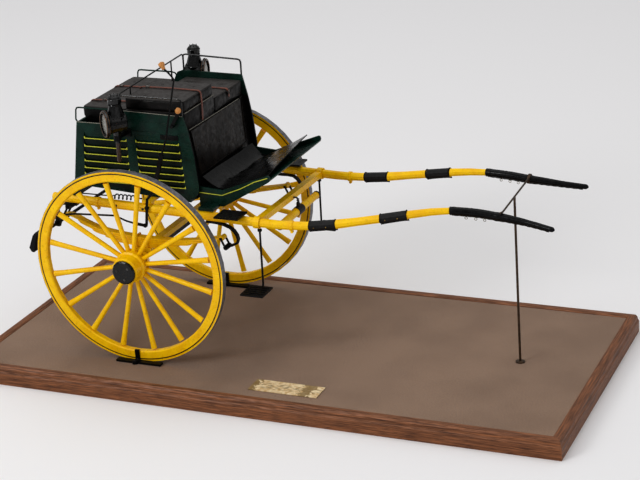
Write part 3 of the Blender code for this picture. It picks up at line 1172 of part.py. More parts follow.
def make_footboard(cart):
    """A shallow tray whose toe rises to the front, open along its front edge."""
    half = FOOTBOARD_HALF_WIDTH
    tray = prism("footboard", [(x * MM, z * MM) for x, z in FOOTBOARD_OUTLINE], -half, half)
    (x0, z0), (x1, z1), (x2, z2) = FOOTBOARD_FLOOR
    well = [(x0, z0), (x1, z1), (x2, z2), (x2, z2 + 40), (x0, z2 + 40)]
    inside = half - FOOTBOARD_CHEEK
    cut(tray, prism("well", [(x * MM, z * MM) for x, z in well], -inside, inside))
    start, end = OUTRIGGER_X
    for _, side in SIDES:
        y0, y1 = sorted((side * (half - 1 * MM), side * OUTRIGGER_REACH))
        fuse(tray, box("outrigger", (start, y0, shaft_top(start, side) + CLEARANCE), (end, y1, OUTRIGGER_TOP)))
    finish(tray, "green_enamel", cart, mm(FOOTBOARD_OUTLINE[0][0], 0, FOOTBOARD_OUTLINE[0][1]))


# Seats and leather

def cushion(name, low, high, crown, draw, cart, heel=None):
    """A stuffed cushion: a crowned top, sides drawn in between the corners, and a flat base.

    A heel, given as (x, height), holds the back edge in as far as that height.
    """
    columns, rows = 8, 6
    middle_x, middle_y = (low[0] + high[0]) / 2, (low[1] + high[1]) / 2
    half_x, half_y = (high[0] - low[0]) / 2, (high[1] - low[1]) / 2
    rise = high[2] - low[2]
    layers = [(0.0, 0.96), (0.12, 1.0), (0.82, 1.0), (0.96, 0.97)]
    if heel:
        heel_level = (heel[1] - low[2]) / rise
        layers[1:2] = [(heel_level - 0.02, 1.0), (heel_level, 1.0)]
    shoulder, shoulder_spread = layers[-1]

    def rim_point(t, spread):
        around = columns * 2 + rows * 2
        k = t % around
        if k < columns:
            u, v = -1 + 2 * k / columns, -1
        elif k < columns + rows:
            u, v = 1, -1 + 2 * (k - columns) / rows
        elif k < 2 * columns + rows:
            u, v = 1 - 2 * (k - columns - rows) / columns, 1
        else:
            u, v = -1, 1 - 2 * (k - 2 * columns - rows) / rows
        round_off = 1 - 0.035 * (abs(u) * abs(v)) ** 6
        pull_u = 1 - draw / half_x * (1 - v * v) * (1 if abs(u) == 1 else 0)
        pull_v = 1 - draw / half_y * (1 - u * u) * (1 if abs(v) == 1 else 0)
        return u * spread * round_off * pull_u, v * spread * round_off * pull_v

    form = bmesh.new()
    rings = []
    around = columns * 2 + rows * 2
    for level, spread in layers:
        ring = []
        for t in range(around):
            u, v = rim_point(t, spread)
            x = middle_x + half_x * u
            if heel and level < heel_level:
                x = max(x, heel[0])
            ring.append(form.verts.new((x, middle_y + half_y * v, low[2] + rise * level)))
        rings.append(ring)
    form.faces.new(rings[0])
    for first, second in zip(rings, rings[1:]):
        for i in range(around):
            j = (i + 1) % around
            form.faces.new((first[i], first[j], second[j], second[i]))
    grid = {}
    top_rim = rings[-1]
    for a in range(columns + 1):
        for b in range(rows + 1):
            u, v = -1 + 2 * a / columns, -1 + 2 * b / rows
            if b == 0:
                grid[a, b] = top_rim[a]
            elif a == columns:
                grid[a, b] = top_rim[columns + b]
            elif b == rows:
                grid[a, b] = top_rim[2 * columns + rows - a]
            elif a == 0:
                grid[a, b] = top_rim[(2 * columns + 2 * rows - b) % around]
            else:
                swell = (1 - u ** 4) * (1 - v ** 4)
                z = low[2] + rise * shoulder + (rise * (1 - shoulder) + crown) * swell
                grid[a, b] = form.verts.new((middle_x + half_x * u * shoulder_spread,
                                             middle_y + half_y * v * shoulder_spread, z))
    for a in range(columns):
        for b in range(rows):
            form.faces.new((grid[a, b], grid[a + 1, b], grid[a + 1, b + 1], grid[a, b + 1]))
    piece = from_bmesh(name, form)
    return finish(piece, "black_leather", cart, (middle_x, middle_y, low[2]), smooth=60)


def make_seats(cart):
    x0, x1 = FRONT_SEAT_X
    base = SEAT_TOP + CLEARANCE
    riser = box("driver_riser", (x0, -FRONT_SEAT_HALF, base), (x1, -0.8 * MM, RISER_TOP))
    finish(riser, "black_leather", cart, (x0, 0, base))
    cushion("driver_cushion", (x0, -FRONT_SEAT_HALF, RISER_TOP + CLEARANCE), (x1, -0.8 * MM, DRIVER_TOP),
            CUSHION_CROWN, 1 * MM, cart)
    cushion("passenger_cushion", (x0, 0.8 * MM, base), (x1, FRONT_SEAT_HALF, PASSENGER_TOP), CUSHION_CROWN, 1 * MM,
            cart)
    back, front = REAR_CUSHION_X
    cushion("rear_cushion", (back, -REAR_CUSHION_HALF, base), (front, REAR_CUSHION_HALF, REAR_CUSHION_TOP),
            CUSHION_CROWN, 1 * MM, cart, REAR_CUSHION_HEEL)


def make_apron(cart):
    """The leather apron that hangs from the seat's front edge."""
    x0, y0, z0 = APRON_TOP
    x1, y1, z1 = APRON_FOOT
    rows = 5
    columns = 8
    form = bmesh.new()
    layers = []
    for depth in (0, APRON_THICKNESS):
        sheet = []
        for a in range(rows + 1):
            share = a / rows
            z = z0 + (z1 - z0) * share
            line = []
            for b in range(columns + 1):
                across = -1 + 2 * b / columns
                y = across * (y0 + (y1 - y0) * share)
                ease = 0.35 * MM * math.sin(across * 5.0) * math.sin(math.pi * share)
                x = front_x(z) + CLEARANCE + 0.4 * MM + depth + ease
                line.append(form.verts.new((x, y, z)))
            sheet.append(line)
        layers.append(sheet)
    skin_sheets(form, layers)
    finish(from_bmesh("front_apron", form), "black_leather", cart, (x0, 0, z0), smooth=60)


def skin_sheets(form, layers):
    """Close two equal grids of points into one thin sheet."""
    rows = len(layers[0]) - 1
    columns = len(layers[0][0]) - 1
    for sheet in layers:
        for a in range(rows):
            for b in range(columns):
                form.faces.new((sheet[a][b], sheet[a][b + 1], sheet[a + 1][b + 1], sheet[a + 1][b]))
    under, over = layers
    for a in range(rows):
        for b in (0, columns):
            form.faces.new((under[a][b], under[a + 1][b], over[a + 1][b], over[a][b]))
    for b in range(columns):
        for a in (0, rows):
            form.faces.new((under[a][b], under[a][b + 1], over[a][b + 1], over[a][b]))


def tray_floor(x):
    """Height of the footboard's upper face."""
    (x0, z0), (x1, z1), (x2, z2) = FOOTBOARD_FLOOR
    rows = ((x0, z0), (x1, z1), (x2, z2))
    return between(rows, x / MM)[1] * MM


def mat_height(x, across):
    """The mat's underside: up against the apron, down into the bend and springing clear of the toe."""
    heel_near = ((69, 217), (76, 211.5), (86, 205.2), (95, 202.2), (104, 205.6), (120, 215), (154, 236))
    heel_far = ((69, 214.6), (76, 205.6), (82, 200), (88, 197.5), (94, 200.4), (112, 210.4), (154, 233.5))
    near = between(heel_near, x / MM)[1]
    far = between(heel_far, x / MM)[1]
    share = (across + 1) / 2
    level = (near + (far - near) * share) * MM
    rumple = 1.1 * MM * math.sin(across * 4.2 + x / MM * 0.05) * max(0, 1 - abs(x / MM - 100) / 45)
    return max(level + rumple, tray_floor(x) + CLEARANCE)


def make_mat(cart):
    """A stiff leather mat bent into the footboard, with its front edge standing clear."""
    rows = 16
    columns = 9
    form = bmesh.new()
    layers = []
    for depth in (0, MAT_THICKNESS):
        sheet = []
        for a in range(rows + 1):
            line = []
            for b in range(columns + 1):
                across = -1 + 2 * b / columns
                end = 153.5 * MM - 5 * MM * (across + 1)
                x = MAT_HEEL_X + (end - MAT_HEEL_X) * a / rows
                half = MAT_HALF_WIDTH + 4 * MM * max(0, across) * a / rows
                line.append(form.verts.new((x, across * half, mat_height(x, across) + depth)))
            sheet.append(line)
        layers.append(sheet)
    skin_sheets(form, layers)
    finish(from_bmesh("floor_mat", form), "black_leather", cart, (MAT_HEEL_X, 0, 202 * MM), smooth=60)


def make_seat_rail(cart):
    """Black wire: a rail across the back, an arm rail on each side, and their posts."""
    radius = RAIL_RADIUS
    y = RAIL_HALF_WIDTH
    corner = 4 * MM
    (near_x, near_z), (far_x, far_z) = BACK_RAIL[NEAR], BACK_RAIL[FAR]
    back = [Vector((near_x, -y, near_z - corner)), Vector((near_x, -y + 1.2 * MM, near_z - 1.2 * MM)),
            Vector((near_x, -y + corner, near_z)), Vector((far_x, y - corner, far_z)),
            Vector((far_x, y - 1.2 * MM, far_z - 1.2 * MM)), Vector((far_x, y, far_z - corner))]
    rail = bar("seat_rail", back, radius, 6)
    for _, side in SIDES:
        x, back_z = BACK_RAIL[side]
        end = ARM_RAIL_X
        rear, front = ARM_RAIL_Z[side]
        foot = body_top(x, side) + CLEARANCE
        arm = [Vector((x, side * y, foot)), Vector((x, side * y, rear - 3 * MM)),
               Vector((x + 1 * MM, side * y, rear - 0.8 * MM)), Vector((x + 4 * MM, side * y, rear)),
               Vector((end - 4 * MM, side * y, front)), Vector((end - 1 * MM, side * y, front - 1 * MM)),
               Vector((end, side * y, front - 4 * MM)), Vector((end, side * y, body_top(end, side) + CLEARANCE))]
        fuse(rail, bar("arm", arm, radius * 1.05, 6))
        riser = [Vector((x, side * y, rear - 6 * MM)), Vector((x, side * y, back_z - corner + 0.5 * MM))]
        fuse(rail, bar("riser", riser, radius * 1.1, 6))
    for post_y in RAIL_POST_Y:
        share = (post_y + y) / (2 * y)
        x = near_x + (far_x - near_x) * share
        top = near_z + (far_z - near_z) * share
        post = [Vector((x, post_y, SEAT_TOP + CLEARANCE)), Vector((x, post_y, top))]
        fuse(rail, bar("post", post, radius * 0.9, 6))
    finish(rail, "black_enamel", cart, (near_x, 0, near_z))


# Lamps

def along(name, profile, facing, level):
    """A turned piece from millimetre rows, laid level along a facing at a height."""
    piece = turned(name, [(radius * MM, reach * MM) for radius, reach in profile], 16, False, "X")
    piece.data.transform(facing)
    piece.data.transform(Matrix.Translation((0, 0, level)))
    return piece


def make_lamp(side_name, side, cart):
    """A drum with a lens, under a conical chimney and a vented dome, on a tube that turns in its bracket."""
    stem = Vector((LAMP_X[side_name], side * LAMP_Y, 0))
    holder = empty(side_name + "_lamp_stem", stem, (0, 0, 0), cart)
    level = DRUM_Z[side_name]
    facing = Matrix.Rotation(LAMP_FACING[side_name], 4, "Z")
    drum = along(side_name + "_lamp_body", DRUM_PROFILE, facing, level)
    well = along("well", WELL_PROFILE, facing, level)
    chimney = turned("chimney", [(radius * MM, level + rise * MM) for radius, rise in CHIMNEY_PROFILE], 12)
    drum_foot = level - DRUM_FOOT
    tube = turned("tube", ((0, CANDLE_FOOT), (CANDLE_RADIUS * 0.7, CANDLE_FOOT + 0.5 * MM),
                           (CANDLE_RADIUS, CANDLE_FOOT + 2 * MM), (CANDLE_RADIUS, drum_foot + 2 * MM),
                           (0, drum_foot + 2 * MM)), 8)
    collar_low = LAMP_SOCKET_Z[1] + CLEARANCE
    collar = turned("collar", ((0, collar_low), (CANDLE_RADIUS + 1.6 * MM, collar_low),
                               (CANDLE_RADIUS + 2.6 * MM, drum_foot + 1 * MM), (0, drum_foot + 1.4 * MM)), 8)
    finish(cut(fuse(drum, chimney, tube, collar), well), "black_enamel", holder)
    finish(along(side_name + "_lamp_lens", LENS_PROFILE, facing, level), "lamp_glass", holder)
    inner = CANDLE_RADIUS + CLEARANCE
    outer = inner + LAMP_SOCKET_WALL
    low, high = LAMP_SOCKET_Z
    bracket = turned(side_name + "_lamp_bracket", ((inner, low), (outer, low), (outer, high), (inner, high)), 10, True)
    bracket.data.transform(Matrix.Translation(stem))
    wall = BODY_HALF_WIDTH + CLEARANCE
    y0, y1 = sorted((side * wall, side * (LAMP_Y - inner - 0.6 * MM)))
    fuse(bracket, box("arm", (stem.x - 2.4 * MM, y0, low + 1.4 * MM), (stem.x + 2.4 * MM, y1, high - 1.4 * MM)))
    y2, y3 = sorted((side * wall, side * (wall + 1.6 * MM)))
    fuse(bracket, box("plate", (stem.x - 6 * MM, y2, low - 1.5 * MM), (stem.x + 6 * MM, y3, high + 1.5 * MM)))
    finish(bracket, "black_enamel", cart, stem + Vector((0, 0, low)))


# Hand lever, brake and catch

def flat_bar(name, path, width, thickness, middle):
    """A flat iron lying in a plane y = middle, along (x, z) points in millimetres."""
    points = [Vector((x * MM, middle, z * MM)) for x, z in path]
    rings = []
    for point, (tangent, _, _) in zip(points, path_frames(points)):
        across = Vector((0, 1, 0))
        upward = tangent.cross(across).normalized()
        rings.append(ring_at(point, across, upward, thickness / 2 * 1.414, width / 2 * 1.414, 4))
    return loft(name, rings)


def make_brake_lever(cart):
    """The hand lever: twisted foot, pivot boss, flat blade, thin rod with a bend, and its knob."""
    middle = -LEVER_PLANE
    thick = LEVER_THICKNESS
    foot = Vector((LEVER_FOOT_X, 0, LEVER_PIVOT[1] - LEVER_FOOT_DROP))
    lever = flat_bar("brake_lever", LEVER_PATH, 2.6 * MM, thick, middle)
    pivot = Vector((LEVER_PIVOT[0], 0, LEVER_PIVOT[1]))
    fuse(lever, cross_pin(pivot, middle, thick / 2, 2.6 * MM, 12))
    fuse(lever, flat_bar("blade", LEVER_BLADE, BLADE_WIDTH, thick, middle))
    rod = bar("rod", [Vector((x * MM, middle, z * MM)) for x, z in LEVER_ROD_PATH], 1.1 * MM, 8)
    knob_x, knob_z = LEVER_KNOB
    radius = LEVER_KNOB_RADIUS
    length = LEVER_KNOB_LENGTH
    knob = turned("knob", ((0, -length * 0.5), (radius * 0.5, -length * 0.5), (radius * 0.6, -length * 0.2),
                           (radius, length * 0.15), (radius * 0.85, length * 0.38), (0, length * 0.5)), 12)
    last, before = LEVER_ROD_PATH[-1], LEVER_ROD_PATH[-2]
    direction = Vector((last[0] - before[0], 0, last[1] - before[1])).normalized()
    lean = Vector((0, 0, 1)).rotation_difference((direction + Vector((0, 0, 1))).normalized())
    knob.data.transform(Matrix.Translation((knob_x * MM, middle, knob_z * MM)) @ lean.to_matrix().to_4x4())
    fuse(lever, rod, knob)
    pin_end = rod_plane() + ROD_RADIUS + 0.8 * MM
    fuse(lever, cross_pin(foot, -(LEVER_PLANE + pin_end) / 2, (pin_end - LEVER_PLANE) / 2, ROD_PIN_RADIUS))
    hole = cross_pin(pivot, middle, thick * 2, LEVER_PIN_RADIUS + CLEARANCE, 12)
    cut(lever, hole)
    finish(lever, "black_iron", cart, pivot + Vector((0, middle, 0)))


def rod_eye(centre, middle):
    """A ring round the rod's pin."""
    inner = ROD_PIN_RADIUS + CLEARANCE
    eye = turned("eye", ((inner, -ROD_RADIUS), (inner + 1.3 * MM, -ROD_RADIUS), (inner + 1.3 * MM, ROD_RADIUS),
                         (inner, ROD_RADIUS)), 12, True, "Y")
    eye.data.transform(Matrix.Translation(centre + Vector((0, middle, 0))))
    return eye


def rod_plane():
    """The pull rod's middle plane, just outside the lever."""
    return LEVER_PLANE + LEVER_THICKNESS / 2 + CLEARANCE + ROD_SLEEVE_RADIUS


def make_brake_rod(cart):
    """The rod from the lever's foot back to the crank on the brake beam."""
    middle = -rod_plane()
    front = Vector((LEVER_FOOT_X, 0, LEVER_PIVOT[1] - LEVER_FOOT_DROP))
    rear = Vector((BEAM_X, 0, BEAM_Z + CRANK_HEIGHT))
    clear = 2 * MM
    knots = [Vector((x * MM, middle, z * MM)) for x, z in BRAKE_ROD_KNOTS]
    path = [rear + Vector((clear, middle, 0)), *knots, front + Vector((-clear, middle, 0))]
    rod = bar("brake_rod", path, ROD_RADIUS, 6)
    sleeve = bar("sleeve", [knots[-1], front + Vector((-clear, middle, 0))], ROD_SLEEVE_RADIUS, 8)
    fuse(rod, sleeve, rod_eye(front, middle), rod_eye(rear, middle))
    finish(rod, "black_iron", cart, rear + Vector((0, middle, 0)))


def make_brake_beam(cart):
    """The beam across the back, with its crank, two arms and the blocks, which lie back from the tyres."""
    axis = Vector((BEAM_X, 0, BEAM_Z))
    beam = cross_pin(axis, 0, BEAM_HALF_LENGTH, BEAM_RADIUS, 10)
    beam.name = "brake_beam"
    rod_middle = -rod_plane()
    crank_y = -(rod_plane() + ROD_RADIUS + CLEARANCE + 1 * MM)
    crank_top = BEAM_Z + CRANK_HEIGHT
    crank = flat_bar("crank", ((BEAM_X / MM, BEAM_Z / MM), (BEAM_X / MM, crank_top / MM + 1.4)), 3.4 * MM, 2 * MM,
                     crank_y)
    pin_length = abs(crank_y - rod_middle) + ROD_RADIUS
    pin = cross_pin(Vector((BEAM_X, 0, crank_top)), (crank_y + rod_middle) / 2, pin_length / 2 + 0.6 * MM,
                    ROD_PIN_RADIUS)
    fuse(beam, crank, pin)
    for _, side in SIDES:
        fuse(beam, *brake_shoe(side))
    finish(beam, "black_iron", cart, axis)


def brake_shoe(side):
    """An arm round the back of the tyre and a block hollowed to the tyre in its applied position."""
    lean = math.tan(CAMBER)
    middle_z = (BLOCK_Z[0] + BLOCK_Z[1]) / 2
    middle_y = side * (HALF_TRACK + (middle_z - HUB_Z) * lean)
    radius = WHEEL_RADIUS + CLEARANCE + BLOCK_PLAY
    steps = 6
    face = []
    for k in range(steps + 1):
        z = BLOCK_Z[0] + (BLOCK_Z[1] - BLOCK_Z[0]) * k / steps
        face.append((-math.sqrt(radius ** 2 - (z - HUB_Z) ** 2), z))
    back = [(face[-1][0] - BLOCK_DEPTH * 0.55, face[-1][1]), (face[-1][0] - BLOCK_DEPTH, middle_z + 8 * MM),
            (face[0][0] - BLOCK_DEPTH, middle_z - 8 * MM), (face[0][0] - BLOCK_DEPTH * 0.5, face[0][1])]
    half = BLOCK_WIDTH / 2
    block = prism("block", face + back, middle_y - half, middle_y + half)
    swing = Matrix.Translation((BEAM_X, 0, BEAM_Z)) @ Matrix.Rotation(BRAKE_SWING, 4, "Y")
    block.data.transform(swing @ Matrix.Translation((-BEAM_X, 0, -BEAM_Z)))
    hold_x = face[0][0] - BLOCK_DEPTH * 0.75 - 1.6 * MM
    start = Vector((BEAM_X, side * (BEAM_HALF_LENGTH - 3 * MM), BEAM_Z))
    path = smooth([start, Vector((BEAM_X - 4 * MM, side * (BEAM_HALF_LENGTH + 1 * MM), BEAM_Z - 3 * MM)),
                   Vector((hold_x - 1 * MM, side * (BEAM_HALF_LENGTH + 6 * MM), middle_z + 2 * MM)),
                   Vector((hold_x, middle_y - side * 1 * MM, middle_z - 2 * MM))], 2)
    return [bar("arm", path, 1.5 * MM, 6), block]


def coil_height():
    return shaft_top(COIL_X[0]) + COIL_RADIUS + COIL_WIRE_RADIUS + 0.5 * MM


def make_return_spring(cart):
    """An open coil on top of the near shaft, with a straight wire at each end, as one unbroken wire."""
    y = -SPRING_HALF_GAUGE
    z = coil_height()
    start, end = COIL_X
    count = round(COIL_TURNS * COIL_POINTS_PER_TURN)
    points = [Vector((-77 * MM, y, z)), Vector((-60 * MM, y, z)), Vector((start - 4 * MM, y, z))]
    for k in range(count + 1):
        share = k / count
        angle = math.tau * COIL_TURNS * share
        grow = min(1, k / 3, (count - k) / 3)
        points.append(Vector((start + (end - start) * share, y + COIL_RADIUS * grow * math.sin(angle),
                              z + COIL_RADIUS * grow * math.cos(angle))))
    bearer = BEARER_POSTS_X[0] - BEARER_POST_WIDTH / 2 - CLEARANCE
    points += [Vector((end + 3 * MM, y, z)), Vector((bearer - 0.2 * MM, y, z))]
    spring = bar("return_spring", points, COIL_WIRE_RADIUS, 6)
    finish(spring, "black_iron", cart, points[0])
    print("return_spring least gap to itself: %.2f mm" % (least_gap(points) / MM))


def least_gap(points):
    """Smallest air gap between stretches of the coil that are more than half a turn apart."""
    least = 1.0
    apart = COIL_POINTS_PER_TURN // 2 + 1
    for i, first in enumerate(points):
        for second in points[i + apart:]:
            least = min(least, (first - second).length - 2 * COIL_WIRE_RADIUS)
    return least


def make_catch_lever(cart):
    """A short flat lever on a screw in the near side, with a turned knob that faces outwards."""
    middle = -CATCH_PLANE
    (px, pz), (kx, kz) = CATCH_PIVOT, CATCH_KNOB
    pivot = Vector((px, 0, pz))
    thick = CATCH_BLADE_THICKNESS
    blade = flat_bar("catch_lever", ((px / MM, pz / MM), (kx / MM, kz / MM)), 4 * MM, thick, middle)
    outer = CATCH_PLANE + thick / 2
    wall = BODY_HALF_WIDTH + CLEARANCE
    screw_half = (outer + 1.2 * MM - wall) / 2
    screw = cross_pin(pivot, -(wall + screw_half), screw_half, 2.3 * MM, 12)
    radius = CATCH_KNOB_RADIUS
    knob = turned("knob", ((0, CATCH_PLANE), (radius * 0.55, CATCH_PLANE), (radius * 0.5, CATCH_PLANE + 2.4 * MM),
                           (radius, CATCH_PLANE + 5.4 * MM), (radius * 0.86, CATCH_PLANE + 8 * MM),
                           (0, CATCH_PLANE + 9.6 * MM)), 12, False, "Y")
    knob.data.transform(Matrix.Rotation(math.pi, 4, "Z"))
    knob.data.transform(Matrix.Translation((kx, 0, kz)))
    finish(fuse(blade, screw, knob), "black_iron", cart, pivot + Vector((0, middle, 0)))


def main():
    for old in list(bpy.data.objects):
        bpy.data.objects.remove(old)
    root = empty("display_stand", (0, 0, 0), (0, 0, 0), None)
    cart = empty("cart_centre", (CART_X, CART_Y, BOARD_TOP), (0, 0, 0), root)
    make_base(root)
    make_plaque(cart)
    make_prop(cart)
    make_wheels(cart)
    make_axle(cart)
    make_axle_bed(cart)
    for side_name, side in SIDES:
        make_wheel_clip(side_name + "_wheel_clip", side, cart)
        make_spring(side_name + "_spring", side, cart)
        make_front_hanger(side_name + "_front_hanger", side, cart)
        make_rear_hanger(side_name + "_rear_hanger", side, cart)
        make_shaft(side_name + "_shaft", side, cart)
        make_tip_sheath(side_name + "_tip_sheath", side, cart)
        make_step_plate(side_name + "_step_plate", side, cart)
        make_hanging_step(side_name + "_hanging_step", side, cart)
        make_body_side(side_name + "_body_side", side, cart)
        make_lamp(side_name, side, cart)
    make_front_crossbar(cart)
    make_swingletree(cart)
    make_body_bearer(cart)
    make_floor(cart)
    make_front_panel(cart)
    make_tailboard(cart)
    make_seat_board(cart)
    make_footboard(cart)
    make_seats(cart)
    make_apron(cart)
    make_mat(cart)
    make_seat_rail(cart)
    make_brake_lever(cart)
    make_brake_rod(cart)
    make_brake_beam(cart)
    make_return_spring(cart)
    make_catch_lever(cart)


main()
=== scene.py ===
"""The looks of a coachbuilder's model of a tandem cart on its display board.

+X points to the shaft tips and +Z is up, in metres. The cart's own pieces are given in millimetres from
the point on the board's cloth under the middle of the axle. "Near" is the -Y side, "far" the +Y side.
"""
import math

import bmesh
import bpy
from mathutils import Matrix, Vector


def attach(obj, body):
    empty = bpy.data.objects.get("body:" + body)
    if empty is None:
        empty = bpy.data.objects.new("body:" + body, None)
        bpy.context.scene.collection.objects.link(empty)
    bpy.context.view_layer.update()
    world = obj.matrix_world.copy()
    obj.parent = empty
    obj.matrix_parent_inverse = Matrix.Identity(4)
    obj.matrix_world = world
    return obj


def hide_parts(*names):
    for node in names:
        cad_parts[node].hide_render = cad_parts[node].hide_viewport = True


bl_info = {
    "name": "Tandem cart looks",
    "version": (1, 0, 0),
    "blender": (4, 5, 0),
    "location": "3D View > Sidebar > Cart",
    "description": "Gives the packed model of a tandem cart its finishes, leather and small fittings",
    "category": "Object",
}

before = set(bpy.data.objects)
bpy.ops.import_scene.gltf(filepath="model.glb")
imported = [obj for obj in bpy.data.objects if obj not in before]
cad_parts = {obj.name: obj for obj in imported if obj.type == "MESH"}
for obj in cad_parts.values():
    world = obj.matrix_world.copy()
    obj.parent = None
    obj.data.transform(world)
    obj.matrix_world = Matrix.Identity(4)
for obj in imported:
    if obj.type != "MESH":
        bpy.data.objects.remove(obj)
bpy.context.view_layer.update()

MM = 0.001
CART = Vector((-0.163, 0.0175, 0.021))
SIDES = (("near", -1), ("far", 1))

# Camera, as a place, a bearing round the cart, a height and a roll
CAMERA_PLACE = (0.8362, -1.8918, 0.9243)
CAMERA_BEARING = math.radians(23.1111)
CAMERA_HEIGHT = math.radians(20.597)
CAMERA_ROLL = math.radians(-2.9902)
CAMERA_CLIP = (0.05, 30)
FOCAL_PIXELS = 1873.83
PHOTO_WIDTH = 640
SENSOR_WIDTH = 36

# Floor, and the lights: name, place, size and power
FLOOR_SIZE = 14
LIGHT_AIM = Vector((0, 0, 0.15))
LIGHTS = (("key_light", (-1.5, -2.6, 1.8), 1.1, 34), ("top_light", (-0.5, 0.6, 2.8), 1.6, 8),
          ("fill_light", (2.2, -2.2, 1.4), 1.2, 3))

# Board. The mitre is half its length less half its width
MITRE = 190.0
THREAD_PITCH = 1.1
PLAQUE_PLACE = (199.0, -153.0, 0)
PLAQUE_BROWN = (23, 37)
PLAQUE_BROWN_END = -30
PLAQUE_STREAKS = (-7, 7)

# Wheels
HALF_TRACK = 131.7
CAMBER = math.radians(2.89)
WHEEL_PHASE = math.radians(0.6)
HUB_Z = 120.36
TREAD_RADIUS = 119.6
LINE_RADII = (116.0, 117.3)

# Spokes, from the nave to the felloe, with the share of their length where they flare and by how much
SPOKE_COUNT = 16
SPOKE_RADII = (15.2, 104.6)
SPOKE_PLANE = -6.0
SPOKE_HALF_WIDTH = (2.6, 3.4)
SPOKE_HALF_THICKNESS = (3.1, 2.7)
SPOKE_FLARE = (0.93, 0.4)
FEET_PROFILE = ((12.4, -9.7), (17.5, -9.7), (17.9, -9.2), (17.9, -2.8), (17.5, -2.3), (12.4, -2.3))

# Hub cap screws
CAP_FACE = 18.7
CAP_SCREW_RADIUS = 8.4
CAP_SCREW_SINK = 0.1
CAP_SCREW_ANGLES = (138, 15, 262)
CAP_SCREW_PROFILE = ((1.5, 0), (1.5, 0.45), (1.2, 0.75))
CAP_SCREW_SLOT = ((-1.6, -0.2, 0.5), (1.6, 0.2, 2.0))

# Body
BODY_HALF = 83.5
LOUVRE_TOP = 257.0
LOUVRE_PITCH = 9.8
LOUVRE_LOSS = 0.45
LOUVRE_COUNT = 7
LOUVRE_FIELDS = ((-75.5, -16.4), (-4, 53))
LOUVRE_SHADE = (198, LOUVRE_TOP - 0.5)
BLACK_EDGE_X = 57.6
BLACK_EDGE_TOP = 270.5
BLACK_EDGE_INSET = 0.2

# Lining. The fields' ends are given at the top and at the foot, and a point's corners from a louvre's end
REAR_FIELD = ((-73, -17), (-77, -15.5))
FRONT_FIELD = ((-5.5, 50.7), (-3, 55.4))
LINING_HEIGHT = (-0.7, 0.35)
LINING_DEPTH = (-0.3, 0.28)
LINING_POINT = ((0, 0), (2.3, 0), (0.2, 2.4))
CHEEK_LINE = ((67.4, 200.1), (82.7, 199.2), (98.6, 198.6), (122.7, 208.6), (140, 218.0), (157.0, 224.0))
CHEEK_HALF = 78.5
CHEEK_WIRE = 0.55

# Beads beside the seat, with how much higher each lies on the far side
BEAD_WIRE = 0.4
BEAD_ROWS = ((((-29, 270.8), (60.3, 269.4)), 0), (((-31, 283.6), (58.8, 281.3)), 2),
             (((-22.5, 292.6), (56.6, 290.4)), 4))

# Seats: lowest and highest corner of each cushion, and the x and y of its buttons
DRIVER_BOX = ((-17.6, -80.0, 294.3), (58.5, -0.8, 308.0))
PASSENGER_BOX = ((-17.6, 0.8, 271.3), (58.5, 80.0, 289.5))
REAR_BOX = ((-82.5, -65.0, 271.3), (-24.2, 65.0, 290.0))
RISER_BOX = ((-17.6, -80.0, 271.3), (58.5, -0.8, 294.0))
DRIVER_BUTTONS = ((0.5, -17), (40.6, -17.5), (1, -63), (40.7, -63.5))
PASSENGER_BUTTONS = ((0.5, 20), (40.6, 20), (-3, 62), (40, 60))
REAR_BUTTONS = ((-70, -44), (-70, 0), (-70, 44), (-38, -22), (-38, 22))

# The rear cushion's heel is kept clear of the tailboard: least x, below a height
REAR_HEEL = (-77.2, 276.9)

# Covers: the box that is stuffed, its creases and buttons, and the piping round its top
COVER_INSET = Vector((0.5, 0.5, 0.2))
COVER_ROUNDING = 1.6
COVER_PRESSURE = 2.5
COVER_FRAMES = 20
CREASE_DEPTH = 0.22
BUTTON_REACH = 4.2
BUTTON_PROFILE = ((0.4, -0.6), (1.5, -0.3), (1.7, 0.15), (1.3, 0.5), (0.3, 0.65))
WELT_WIRE = 0.5
WELT_DROP = 0.9
WELT_INSET = 0.35
WELT_STEPS = 72
WELT_SQUARENESS = 14
RISER_ROUNDING = 1.1
RISER_WELT_WIRE = 0.45
RISER_WELT_DROP = 0.5

# Apron and mat. The front panel leans from FRONT_TOP_X to FRONT_FOOT_X over its height, and the apron's
# top and foot are given as half width and height. A rumple of the mat is given by its height, how fast
# it waves across and along, and where its middle and reach lie along the mat
FRONT_TOP_X = 58.4
FRONT_FOOT_X = 67.6
FRONT_TOP_Z = 269.0
FRONT_HEIGHT = 76.77
APRON_TOP = (70.4, 270.8)
APRON_FOOT = (64.8, 216.1)
APRON_OUT = 0.85
APRON_THICKNESS = 0.9
BINDING_INSET = (0.006, 0.012)
BINDING_OUT = Vector((1.1, 0, 0))
BINDING_WIRE = 0.5
MAT_NEAR = ((69, 217), (76, 211.5), (86, 205.2), (95, 202.0), (104, 203.4), (120, 209.6), (154, 223.5))
MAT_FAR = ((69, 214.6), (76, 205.6), (82, 200), (88, 197.5), (94, 200.4), (112, 210.4), (154, 233.5))
MAT_HEEL_X = 70.5
MAT_TOE_X = 153.5
MAT_TOE_SLANT = 5
MAT_HALF = 70
MAT_SPREAD = 4
MAT_THICKNESS = 1.0
MAT_CLEARANCE = 0.5
MAT_RUMPLES = ((1.1, 4.2, 0.05, 100, 45), (0.35, 11, 0.09, 92, 26))
TRAY_FLOOR = ((66, 200), (98, 197.6), (160, 221.8))

